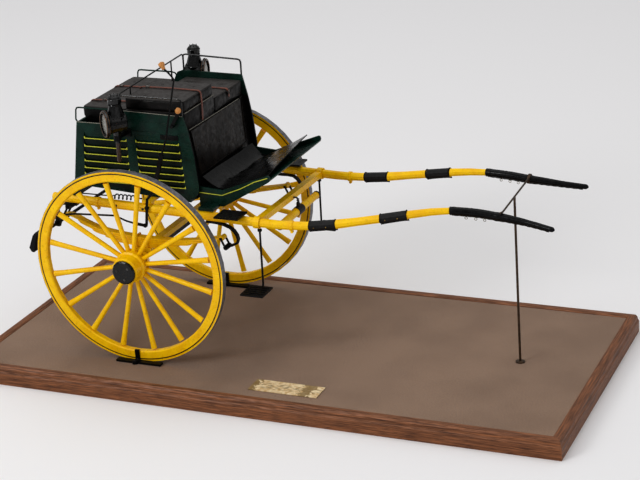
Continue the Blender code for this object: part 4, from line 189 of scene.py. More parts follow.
# Straps: a path of (x, height), the strap's y and the share of the path where its buckle lies
DRIVER_STRAP = ((-18.4, 292.5), (-18.4, 307.2), (-16.6, 309.2), (20, 309.9), (56.6, 309.0), (59.0, 306.8),
                (59.6, 294.5), (59.3, 274))
PASSENGER_STRAP = ((-18.2, 289.5), (-16.8, 290.6), (20, 291.3), (56.8, 290.4), (59.1, 288.4), (59.4, 280.5))
REAR_STRAP = ((-83.0, 279), (-83.0, 288.6), (-80.8, 290.9), (-52, 291.7), (-26, 291.0))
STRAPS = ((DRIVER_STRAP, -36, 0.2), (PASSENGER_STRAP, 38, 0.93), (REAR_STRAP, -41, 0.42),
          (REAR_STRAP, 18, 0.3))
STRAP_SWAY = 0.5
BUCKLE_HALF = 2.1
BUCKLE_TONGUE = 2.4
BUCKLE_WIRE = 0.42
TONGUE_WIRE = 0.3

# Shafts: x, half gauge, height, radius
SHAFT_PATH = (
    (-115, 94, 184.6, 5.2), (-57, 94, 182.6, 5.5), (20, 94.2, 180.4, 5.5), (60, 94.9, 179.4, 5.5),
    (96, 95.4, 178.3, 5.5), (125, 95.6, 177.2, 5.5), (149, 95.4, 176.2, 5.4), (172, 93.7, 175.0, 5.3),
    (190, 91.7, 174.7, 5.2), (210, 89.2, 175.4, 5.0), (241, 85.2, 178.8, 4.9), (267, 82.4, 183.4, 4.9),
    (293, 79.6, 188.2, 4.9), (323.5, 75.4, 194.0, 4.8), (350, 70.8, 198.3, 4.3), (372, 67.6, 200.4, 3.8),
    (400, 65.3, 199.8, 3.9), (426, 64.7, 197.6, 3.6), (443, 65.9, 195.9, 3.2), (460, 67.6, 194.0, 2.6),
    (488, 72.6, 190.8, 2.2),
)
FAR_SHAFT_SAG = ((-115, 0), (20, 0), (60, 1.4), (96, 3.4), (125, 4.4), (149, 4.0), (172, 3.0), (190, 2.0),
                 (210, 1.0), (241, 0), (488, 0))
SLEEVE_SPANS = ((210.4, 241.5), (292.7, 323.5))
POST_SPAN = (-60, -54)
POST_FOOT = 188.9
PIN_PLACE = (11.8, -103, 183.4)
PIN_REACH = 3.2

# Shaft leather. The sheath swells at its mouth and under two keepers, each over a reach along it. Rein
# rings and their staples are given by drop, radius and wire
SHEATH_START = 370.5
SHEATH_END = 490.5
SHEATH_WALL = 1.0
SHEATH_KEEPERS = (375, 425)
SHEATH_END_ROUNDING = 3
MOUTH_REACH = 1.4
KEEPER_REACH = 1.6
KEEPER_RISE = 0.35
SEAM_DEPTH = 1.3
SEAM_SCALLOP = 0.45
STITCH_BOX = ((-0.45, -0.5, -0.12), (0.45, 0.5, 0.12))
STITCH_COUNT = 46
STITCH_PITCH = 2.4
RING_PLACES = (388.7, 399.7, 410.0)
REIN_RING = (3.4, 1.45, 0.32)
REIN_STAPLE = (1.7, 0.75, 0.3)
SLEEVE_WELT_INSET = 0.6
SLEEVE_WELT_RISE = 0.75
SLEEVE_WELT_WIRE = 0.5
STUD_OFFSETS = (6, 20)
STUD_LEAN = math.radians(100)

# Swingletree and front crossbar
SWINGLE_SLEEVE = 8.1
SWINGLE_CAPS = 53.9
HOOK_HALF = 4
HOOK_X = 153.1
LINK_X = 158.9
LINK_HEIGHTS = (172.6, 170.4, 168.2)
LINK_RADIUS = 1.65
LINK_WIRE = 0.42
LINK_LEAN = math.radians(28)

# Knobs on the levers: node, middle and reach
KNOBS = (("brake_lever", (46.8, -101.6, 357.4), 6.0), ("catch_lever", (58.1, -95.6, 301.8), 6.3))

# Lamps: side, stem, drum height, bearing of the lens
LAMPS = (("near", (-15.8, -106.0), 286.4, math.radians(225)),
         ("far", (-17.3, 106.0), 289.0, math.radians(11.5)))

# Lamp bands, up the stem or out along the drum: distance from the drum's middle, radius, wire
STEM_BANDS = ((21.8, 7.0, 0.9), (7.6, 10.7, 0.55), (28.4, 7.9, 0.5))
DRUM_BANDS = ((-9.2, 10.75, 0.5), (8.0, 12.1, 0.55))
BEZEL_BANDS = ((14.3, 14.5, 1.15), (12.0, 15.9, 0.45))
BOSS_PROFILE = ((4.5, -12.6), (4.5, -11.9), (6.5, -11.6), (6.5, -11.1))
CROWN_PROFILE = ((0.8, 0), (0.7, 1.0), (0.15, 2.1))
CROWN_COUNT = 6
CROWN_PLACE = Vector((4.6, 0, 32))
CANDLE_TOP = 262
LENS_FADE = (13, 19)

# Springs. Each leaf is narrower than the one above, and narrows again over a length at its ends
SPRING_TOP = ((-101.5, 164.8), (-96, 165.6), (-88, 163.5), (-75, 157.8), (-59, 152.0), (-46, 149.3),
              (-33, 147.5), (-15, 145.7), (0, 144.9), (14, 144.7), (30, 145.0), (56, 146.6),
              (75, 149.2), (92, 152.4), (102, 154.4))
SPRING_GAUGE = 94.0
SPRING_WIDTH = 10.0
SPRING_EYES = ((-102.7, 161.6), (103.4, 153.2))
EYE_PROFILE = ((1.7, -5), (2.8, -5), (3.05, -4.7), (3.05, 4.7), (2.8, 5), (1.7, 5))
LEAF_REAR = (101.5, 84, 66, 50, 34)
LEAF_FRONT = (102, 80, 62, 46, 30)
LEAF_THICKNESS = 2.4
LEAF_GAP = 0.25
LEAF_STEP = 0.25
LEAF_END = (5, 2.6)

# Small fittings
# Pale lines along the seat's front and the panels' top edges: painted highlights of the glossy edges, partly
# paint rubbed to the primer
EDGE_HIGHLIGHTS_AND_WEAR = (
    ((60.6, -74, 273.2), (60.9, -20, 272.6), (60.9, 30, 271.8), (60.6, 62, 271.2)),
    ((59.0, -79, 294.2), (59.2, -40, 294.4), (59.0, -2, 294.2)),
    ((-22.6, -83.6, 293.9), (57.4, -83.6, 291.7)),
    ((-81, -83.6, 276.2), (-41, -83.6, 276.2)),
    ((-35.5, -83.6, 278), (-29.6, -83.6, 289.6)),
)
EDGE_HIGHLIGHT_RADIUS = 0.42
STAPLE_PLATE = ((27.5, 262.6), (50.5, 268.2))
STAPLE_OUT = 1.0
STAPLE_SCREWS = ((30.5, 266.6), (47.6, 265.9))
STAPLE_SCREW_PROFILE = ((1.35, -0.2), (1.35, 0.35), (0.9, 0.75))
BOLT_PLACES = (-100, -30, 5, 30)
BOLT_PROFILE = ((1.5, -0.3), (1.5, 0.3), (1.1, 0.75), (0.4, 0.9))
HINGE_PLACES = (-52, 0, 52)
HINGE_LINE = (-92.3, 203.2)
HINGE_LENGTH = 10
HINGE_RADIUS = 1.3


def at(x, y, z):
    """A point of the cart from its place in millimetres."""
    return CART + Vector((x, y, z)) * MM


def between(table, x):
    """Read a table of rows at x, where the rows' first numbers rise."""
    for low, high in zip(table, table[1:]):
        if x <= high[0]:
            share = (x - low[0]) / (high[0] - low[0])
            return [a + (b - a) * share for a, b in zip(low, high)]
    return list(table[-1])


def curved(table, x):
    """Read a table of rows at x on a smooth curve through the rows."""
    rows = [tuple(2 * a - b for a, b in zip(table[0], table[1])), *table,
            tuple(2 * a - b for a, b in zip(table[-1], table[-2]))]
    for a, b, c, d in zip(rows, rows[1:], rows[2:], rows[3:]):
        if x <= c[0] or c is rows[-2]:
            t = (x - b[0]) / (c[0] - b[0])
            return [0.5 * (2 * q + (r - p) * t + (2 * p - 5 * q + 4 * r - s) * t * t
                           + (3 * q - p - 3 * r + s) * t ** 3) for p, q, r, s in zip(a, b, c, d)]
    return list(table[-1])


def swell(x, middle, rise, reach):
    """A soft swelling round a middle, falling away over a reach."""
    return rise * math.exp(-((x - middle) / reach) ** 2)


def shaft_at(x, side):
    """The shaft's centre and radius at x, all in millimetres."""
    _, gauge, height, radius = curved(SHAFT_PATH, x)
    sag = between(FAR_SHAFT_SAG, x)[1] if side > 0 else 0
    return Vector((x, side * gauge, height - sag)), radius


# Modelling helpers

def start():
    """Go back to object mode with nothing selected."""
    if bpy.context.mode != "OBJECT":
        bpy.ops.object.mode_set(mode="OBJECT")
    bpy.ops.object.select_all(action="DESELECT")


def pick(*pieces):
    """Select these pieces alone, the first one active."""
    start()
    for piece in pieces:
        piece.select_set(True)
    bpy.context.view_layer.objects.active = pieces[0]
    return pieces[0]


def named(name):
    """The piece that was just added, under its name."""
    piece = bpy.context.active_object
    piece.name = name
    piece.data.name = name
    return piece


def settle(piece):
    """Put a piece's place, turn and scale into its mesh."""
    pick(piece)
    bpy.ops.object.transform_apply(location=True, rotation=True, scale=True)
    return piece


def use(piece, kind, **settings):
    """Add a modifier with its settings and apply it."""
    pick(piece)
    step = piece.modifiers.new(kind.lower(), kind)
    for key, value in settings.items():
        setattr(step, key, value)
    bpy.ops.object.modifier_apply(modifier=step.name)
    return piece


def soften(piece, width, segments=2, angle=35):
    """Round a piece's sharp edges by a width in millimetres."""
    return use(piece, "BEVEL", width=width * MM, segments=segments, limit_method="ANGLE",
               angle_limit=math.radians(angle), use_clamp_overlap=True)


def shade(piece, angle=35):
    """Shade a piece smooth, but for edges sharper than an angle."""
    pick(piece)
    bpy.ops.object.shade_smooth_by_angle(angle=math.radians(angle))
    return piece


def outward(piece):
    """Merge doubles and point every face out."""
    pick(piece)
    bpy.ops.object.mode_set(mode="EDIT")
    bpy.ops.mesh.select_all(action="SELECT")
    bpy.ops.mesh.remove_doubles(threshold=1e-6)
    bpy.ops.mesh.normals_make_consistent(inside=False)
    bpy.ops.object.mode_set(mode="OBJECT")
    return piece


def join(name, pieces):
    """Make one piece of several."""
    pick(*pieces)
    if len(pieces) > 1:
        bpy.ops.object.join()
    return named(name)


def slab(name, low, high, bevel=0.0):
    """A block between two corners in metres, with its edges rounded by a width in millimetres."""
    start()
    low, high = Vector(low), Vector(high)
    bpy.ops.mesh.primitive_cube_add(size=1, location=(low + high) / 2)
    piece = named(name)
    piece.scale = high - low
    settle(piece)
    if bevel:
        soften(piece, bevel)
    return piece


def turned(name, profile, place=None, steps=24):
    """A turned piece: a disc extruded and resized along (radius, height) rows in millimetres."""
    start()
    radius, height = profile[0]
    bpy.ops.mesh.primitive_circle_add(vertices=steps, radius=radius * MM, fill_type="NGON",
                                      location=(0, 0, height * MM))
    piece = settle(named(name))
    bpy.ops.object.mode_set(mode="EDIT")
    bpy.ops.mesh.select_all(action="SELECT")
    for wider, higher in profile[1:]:
        bpy.ops.mesh.extrude_region_move(TRANSFORM_OT_translate={"value": (0, 0, (higher - height) * MM)})
        share = wider / radius
        bpy.ops.transform.resize(value=(share, share, 1), center_override=(0, 0, higher * MM))
        radius, height = wider, higher
    bpy.ops.object.mode_set(mode="OBJECT")
    outward(piece)
    if place is not None:
        piece.data.transform(place)
    return piece


def wire(name, points, radius, closed=False, resolution=3):
    """A round wire through points in metres; its radius is in millimetres."""
    start()
    bpy.ops.curve.primitive_bezier_curve_add()
    line = bpy.context.active_object
    line.data.splines.clear()
    spline = line.data.splines.new("POLY")
    spline.points.add(len(points) - 1)
    for spot, point in zip(spline.points, points):
        spot.co = (*point, 1)
    spline.use_cyclic_u = closed
    line.data.bevel_depth = radius * MM
    line.data.bevel_resolution = resolution
    line.data.use_fill_caps = True
    line.location = (0, 0, 0)
    bpy.ops.object.convert(target="MESH")
    return outward(named(name))


def ring(name, place, radius, thick, steps=24):
    """A round ring of wire, its sizes in millimetres, laid flat before its place is applied."""
    start()
    bpy.ops.mesh.primitive_torus_add(major_radius=radius * MM, minor_radius=thick * MM, major_segments=steps,
                                     minor_segments=8)
    piece = named(name)
    piece.data.transform(place)
    return piece


def draped(name, columns, rows, place, thickness, offset=1.0):
    """A sheet whose points are set by place(s, t), with a thickness in millimetres, and its area."""
    start()
    bpy.ops.mesh.primitive_grid_add(x_subdivisions=columns, y_subdivisions=rows, size=1)
    piece = named(name)
    for vert in piece.data.vertices:
        vert.co = place(vert.co.x + 0.5, vert.co.y + 0.5)
    area = sum(face.area for face in piece.data.polygons)
    return use(piece, "SOLIDIFY", thickness=thickness * MM, offset=offset, use_even_offset=True), area


def repeat(name, piece, places):
    """Copies of one piece, each with its own mesh, joined into one."""
    copies = []
    for place in places:
        copy = piece.copy()
        copy.data = piece.data.copy()
        copy.data.transform(place)
        bpy.context.scene.collection.objects.link(copy)
        copies.append(copy)
    bpy.data.objects.remove(piece)
    return join(name, copies)


def fit(piece, body, finish, angle=35, stands_for=()):
    """Give a new piece its finish and body, and hide the solids it stands for."""
    piece.data.materials.clear()
    piece.data.materials.append(finish)
    if angle:
        shade(piece, angle)
    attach(piece, body)
    if stands_for:
        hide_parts(*stands_for)
    return piece


# Material helpers

def linear(channel):
    """One sRGB channel as linear light."""
    return channel / 12.92 if channel <= 0.04045 else ((channel + 0.055) / 1.055) ** 2.4


def colour(code):
    """An sRGB hex colour as linear RGBA."""
    return (*(linear(int(code[i:i + 2], 16) / 255) for i in (0, 2, 4)), 1.0)


def put(owner, kind, inputs=(), out=0, **settings):
    """Add a node with its settings, values and links, and return one of its outputs.

    The inputs come in their order or by their keys, and a hex string among them is a colour. A Mix node
    takes its share at 0, two values at 2 and 3 or two colours at 6 and 7, and gives a colour at 2.
    """
    tree = owner.node_tree
    made = tree.nodes.new("ShaderNode" + kind)
    for key, value in settings.items():
        setattr(made, key, value)
    for key, value in inputs.items() if isinstance(inputs, dict) else enumerate(inputs):
        if isinstance(value, bpy.types.NodeSocket):
            tree.links.new(value, made.inputs[key])
        else:
            made.inputs[key].default_value = colour(value) if isinstance(value, str) else value
    return made.outputs[out]


def sockets(made):
    """The inputs of a finish's shader."""
    return made.node_tree.nodes["Principled BSDF"].inputs


def new_finish(name, roughness, metallic=0.0, shine=0.5, sheen=0.0):
    """A fresh material with its shader's constant values."""
    made = bpy.data.materials.new(name)
    made.use_nodes = True
    for key, value in (("Roughness", roughness), ("Metallic", metallic), ("Specular IOR Level", shine),
                       ("Sheen Weight", sheen)):
        sockets(made)[key].default_value = value
    return made


def place_of(made, stretch=(1, 1, 1)):
    """Object coordinates, stretched so that a pattern runs longer on some axes."""
    coords = put(made, "TexCoord", out="Object")
    return put(made, "Mapping", {"Vector": coords, "Scale": stretch}, "Vector")


def axes(made, origin=(0, 0, 0)):
    """The three coordinates from an origin, in metres."""
    apart = put(made, "VectorMath", (put(made, "TexCoord", out="Object"), origin), operation="SUBTRACT")
    return put(made, "SeparateXYZ", (apart,)).node.outputs


def far_from(made, x, y, z):
    """The distance in metres from a point of the cart given in millimetres."""
    coords = put(made, "TexCoord", out="Object")
    return put(made, "VectorMath", (coords, at(x, y, z)), "Value", operation="DISTANCE")


def speckle(made, where, size, detail=3.0, low=0.35, high=0.65, least=0.0, most=1.0):
    """Noise with features of a size in millimetres, spread between two values from two of its levels."""
    noise = put(made, "TexNoise", {"Vector": where, "Scale": 1 / (size * MM), "Detail": detail}, "Fac")
    return put(made, "MapRange", {"Value": noise, "From Min": low, "From Max": high, "To Min": least,
                                  "To Max": most})


def flecked(made, where, size, base, fleck, detail=3.0, low=0.35, high=0.65, strength=1.0):
    """A colour with flecks of another, of a size in millimetres, where noise rises past a level."""
    share = speckle(made, where, size, detail, low, high, most=strength)
    return put(made, "Mix", {0: share, 6: base, 7: fleck}, 2, data_type="RGBA")


def within(made, value, low, high):
    """1 where a value in metres lies between two limits in millimetres, else 0."""
    above = put(made, "Math", (value, low * MM), operation="GREATER_THAN")
    below = put(made, "Math", (value, high * MM), operation="LESS_THAN")
    return put(made, "Math", (above, below), operation="MULTIPLY")


def paint(made, base, rough=None, relief=None, depth=0.0):
    """Link a finish's colour, its roughness and a relief raised over a depth in millimetres."""
    if relief is not None:
        relief = put(made, "Bump", {"Height": relief, "Distance": depth * MM})
    for key, source in (("Base Color", base), ("Roughness", rough), ("Normal", relief)):
        if source is not None:
            made.node_tree.links.new(source, sockets(made)[key])
    return made


def overlay(made, mask, base, roughness, metallic=None):
    """Lay a second finish over the first where the mask is 1."""
    under = sockets(made)["Base Color"].links[0].from_socket
    paint(made, put(made, "Mix", {0: mask, 6: under, 7: base}, 2, data_type="RGBA"))
    for key, value in (("Roughness", roughness), ("Metallic", metallic)):
        if value is None:
            continue
        socket = sockets(made)[key]
        old = socket.links[0].from_socket if socket.links else socket.default_value
        made.node_tree.links.new(put(made, "Mix", {0: mask, 2: old, 3: value}), socket)


# Finishes

def yellow_enamel(name="yellow_enamel"):
    """Coach enamel on wood: thick and glossy, browner in flecks of grime, with a few chips."""
    made = new_finish(name, 0.34, shine=0.28)
    where = place_of(made)
    tone = flecked(made, where, 14, "F0B900", "FACB00")
    tone = flecked(made, where, 3.5, tone, "C08A04", 4, 0.56, 0.75, 0.5)
    tone = flecked(made, where, 1.6, tone, "4A3410", 2, 0.76, 0.8)
    rough = speckle(made, where, 5, least=0.24, most=0.42)
    return paint(made, tone, rough, speckle(made, where, 2.5, 4), 0.05)


def green_enamel(name="green_enamel"):
    """Dark green coach enamel on thin board: deep gloss with fine scratches and brush drag."""
    made = new_finish(name, 0.26, shine=0.16)
    where = place_of(made)
    drag = place_of(made, (0.12, 1, 1))
    tone = flecked(made, where, 16, "0B231C", "113229")
    tone = flecked(made, drag, 1.2, tone, "2C4A3E", 4, 0.66, 0.8)
    rough = speckle(made, where, 4, least=0.2, most=0.4)
    return paint(made, tone, rough, speckle(made, drag, 1.6), 0.06)


def black_paint(name, roughness, fleck="2B2927", shine=0.18):
    """Black paint on iron: slightly uneven, with rubbed spots where the metal shows grey."""
    made = new_finish(name, roughness, shine=shine)
    where = place_of(made)
    tone = flecked(made, where, 6, "050505", "0B0B0C")
    tone = flecked(made, where, 1.4, tone, fleck, 4, 0.66, 0.78)
    rough = speckle(made, where, 3, least=roughness - 0.08, most=roughness + 0.12)
    return paint(made, tone, rough, speckle(made, where, 2.2), 0.04)


def leather(name, dark="060505", light="0E0C0B", scuff="2E2622", grain=0.9, roughness=0.34, dust_and_sheen=0.0):
    """Dyed hide: a pebbled grain, brown scuffs on the high spots, and a pale grey where it faces up: painted
    sheen, partly a dusty film.
    """
    made = new_finish(name, roughness, shine=0.17)
    where = place_of(made)
    tone = flecked(made, where, 20, dark, light)
    tone = flecked(made, where, 9, tone, scuff, 5, 0.54, 0.78, 0.5)
    # Painted sheen: faces that point up are mixed towards pale grey, standing in for the bright light they
    # reflect, partly a dusty film
    facing = put(made, "SeparateXYZ", (put(made, "NewGeometry", out="Normal"),), "Z")
    top_sheen_and_dust = put(made, "MapRange", {"Value": facing, "From Min": 0.55, "To Max": dust_and_sheen})
    tone = put(made, "Mix", {0: top_sheen_and_dust, 6: tone, 7: "4A4644"}, 2, data_type="RGBA")
    rough = speckle(made, where, 5, least=roughness - 0.12, most=roughness + 0.12)
    pebbles = put(made, "TexVoronoi", {"Vector": where, "Scale": 1 / (grain * MM)}, "Distance")
    creases = speckle(made, where, 9, 2)
    relief = put(made, "Math", (pebbles, 0.25, creases), operation="MULTIPLY_ADD")
    return paint(made, tone, rough, relief, 0.08)


def metal(name, base, other, roughness, metallic=1.0, size=3.0):
    """Bare or lacquered metal with blotches of tarnish."""
    made = new_finish(name, roughness, metallic)
    where = place_of(made)
    tone = flecked(made, where, size, base, other, 5)
    rough = speckle(made, where, size * 0.6, least=roughness - 0.1, most=roughness + 0.15)
    return paint(made, tone, rough, speckle(made, where, 0.8), 0.04)


def boxwood(made):
    """The colour of a turned boxwood knob: pale wood with fine darker grain."""
    return flecked(made, place_of(made, (1, 1, 0.25)), 1.2, "D29A5E", "B77A42", 4)


def mahogany():
    """Varnished moulding: long brown and red grain along each side, with open pores."""
    made = new_finish("mahogany", 0.42, shine=0.3)
    x, y, _ = axes(made)
    along, across = (put(made, "Math", (axis,), operation="ABSOLUTE") for axis in (x, y))
    past_mitre = put(made, "Math", (along, MITRE * MM), operation="SUBTRACT")
    end = put(made, "Math", (past_mitre, across), operation="GREATER_THAN")
    tones = []
    pores = []
    for stretch in ((0.025, 1, 1), (1, 0.025, 1)):
        where = place_of(made, stretch)
        grain = flecked(made, where, 1.1, "56331F", "A06945", 6, 0.3, 0.7)
        pore = speckle(made, where, 0.4, 4, 0.5, 0.68)
        tones.append(put(made, "Mix", {0: pore, 6: grain, 7: "331D10"}, 2, data_type="RGBA"))
        pores.append(pore)
    tone = put(made, "Mix", {0: end, 6: tones[0], 7: tones[1]}, 2, data_type="RGBA")
    return paint(made, tone, None, put(made, "Mix", {0: end, 2: pores[0], 3: pores[1]}), 0.12)


def cloth():
    """Taupe baize glued over the board: a fine plain weave, slightly mottled."""
    made = new_finish("board_cloth", 0.92, sheen=0.15)
    where = place_of(made)
    x, y, _ = axes(made)
    threads = []
    for axis in (x, y):
        turn = put(made, "Math", (axis, math.tau / (THREAD_PITCH * MM)), operation="MULTIPLY")
        threads.append(put(made, "Math", (turn,), operation="SINE"))
    weave = put(made, "Math", threads, operation="MULTIPLY")
    tone = flecked(made, where, 70, "8F735D", "9E816A")
    tone = flecked(made, where, 1.4, tone, "4F3D32", 4, strength=0.5)
    relief = put(made, "Math", (weave, speckle(made, where, 0.8)), operation="ADD")
    return paint(made, tone, None, relief, 0.1)


def highlight_and_rub_paint(name):
    """Pale grey-green for the edge lines: painted highlight of glossy edges, partly primer where a painted
    edge is rubbed, with a little dirt in it.
    """
    made = new_finish(name, 0.5)
    where = place_of(made)
    tone = flecked(made, where, 2.5, "8E8B80", "3A3226", strength=0.35)
    return paint(made, tone, None, speckle(made, where, 1.2), 0.04)


def cad_material(node, made):
    """Give a solid that stays its finish."""
    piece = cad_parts[node]
    piece.data.materials.clear()
    piece.data.materials.append(made)


def wheel_place(side):
    """Where a wheel's middle is, with +Y pointing outwards along its axle."""
    turn = math.pi if side < 0 else 0
    return (Matrix.Translation(at(0, side * HALF_TRACK, HUB_Z)) @ Matrix.Rotation(turn, 4, "Z")
            @ Matrix.Rotation(-CAMBER, 4, "X"))


def wheel_radius(made, side):
    """The distance from a wheel's axle at each point, in metres."""
    centre = at(0, side * HALF_TRACK, HUB_Z)
    axle = wheel_place(side).to_3x3() @ Vector((0, 1, 0))
    reach = put(made, "VectorMath", (put(made, "TexCoord", out="Object"), centre), operation="SUBTRACT")
    cross = put(made, "VectorMath", (reach, axle), operation="CROSS_PRODUCT")
    return put(made, "VectorMath", (cross,), "Value", operation="LENGTH")


def length(label, about, default, least, most):
    """A property for a length given in millimetres."""
    return bpy.props.FloatProperty(name=label, description=about, default=default * MM, min=least * MM,
                                   max=most * MM, subtype="DISTANCE", unit="LENGTH")


def tint(label, about, code):
    """A property for a colour given in hex."""
    return bpy.props.FloatVectorProperty(name=label, description=about, subtype="COLOR", size=4,
                                         default=colour(code), min=0, max=1)


class CartLooks(bpy.types.PropertyGroup):
    """Sizes and colours that a user would change."""

    strap_width: length("Strap width", "Width of the seat straps", 3.4, 2, 15)
    strap_thickness: length("Strap thickness", "Thickness of the seat straps", 0.6, 0.3, 2)
    cushion_crown: length("Cushion crown", "How far a cushion's top rises in its middle", 1, 0, 6)
    voxel: length("Cover mesh", "Size of the faces that a cushion's cover is simulated with", 1.6, 1, 4)
    swell: length("Swell", "How far a cushion's cover may move when it is stuffed", 0.9, 0, 5)
    button_depth: length("Button depth", "How far a button draws a cushion's top down", 1.6, 0, 5)
    stud_radius: length("Stud radius", "Radius of the brass studs on the shafts", 0.75, 0.3, 2)
    lining: tint("Lining", "Colour of the painted lining on the body", "C3C53A")
    strap_tone: tint("Straps", "Colour of the seat straps", "5E3226")
    backdrop: tint("Backdrop", "Colour of the floor and backdrop", "EFEEEF")


class CART_OT_stage(bpy.types.Operator):
    """Set the pale sweep, the soft lights and the camera"""

    bl_idname = "cart.stage"
    bl_label = "Stage"

    def execute(self, context):
        self.sweep(context.scene)
        for name, place, size, power in LIGHTS:
            start()
            bpy.ops.object.light_add(type="AREA", location=place)
            lamp = named(name)
            lamp.data.size = size
            lamp.data.energy = power
            lamp.rotation_euler = (LIGHT_AIM - Vector(place)).to_track_quat("-Z", "Y").to_euler()
        self.camera(context.scene)
        context.scene.view_settings.view_transform = "Standard"
        context.scene.view_settings.look = "Medium High Contrast"
        return {"FINISHED"}

    def sweep(self, scene):
        """A matt paper floor under a soft light that is stronger from above."""
        start()
        bpy.ops.mesh.primitive_plane_add(size=FLOOR_SIZE)
        floor = named("studio_sweep")
        paper = new_finish("studio_paper", 0.9)
        sockets(paper)["Base Color"].default_value = scene.cart_looks.backdrop
        floor.data.materials.append(paper)

        world = bpy.data.worlds.new("studio")
        world.use_nodes = True
        height = put(world, "SeparateXYZ", (put(world, "TexCoord", out="Generated"),), "Z")
        glow = put(world, "MapRange", {"Value": height, "From Min": 0.1, "From Max": 0.95, "To Min": 0.22,
                                       "To Max": 0.84})
        background = world.node_tree.nodes["Background"]
        background.inputs["Color"].default_value = colour("F4F4F4")
        world.node_tree.links.new(glow, background.inputs["Strength"])
        scene.world = world

    def camera(self, scene):
        """The photograph's camera, with its roll."""
        start()
        bpy.ops.object.camera_add(location=CAMERA_PLACE)
        camera = named("camera")
        cos_h, sin_h = math.cos(CAMERA_HEIGHT), math.sin(CAMERA_HEIGHT)
        back = Vector((math.sin(CAMERA_BEARING) * cos_h, -math.cos(CAMERA_BEARING) * cos_h, sin_h))
        right = Vector((math.cos(CAMERA_BEARING), math.sin(CAMERA_BEARING), 0))
        upward = back.cross(right)
        cos_r, sin_r = math.cos(CAMERA_ROLL), math.sin(CAMERA_ROLL)
        rolled_right = right * cos_r + upward * sin_r
        rolled_up = upward * cos_r - right * sin_r
        turn = Matrix((rolled_right, rolled_up, back)).transposed()
        camera.rotation_euler = turn.to_euler()
        camera.data.sensor_width = SENSOR_WIDTH
        camera.data.lens = FOCAL_PIXELS * SENSOR_WIDTH / PHOTO_WIDTH
        camera.data.clip_start, camera.data.clip_end = CAMERA_CLIP
        scene.camera = camera


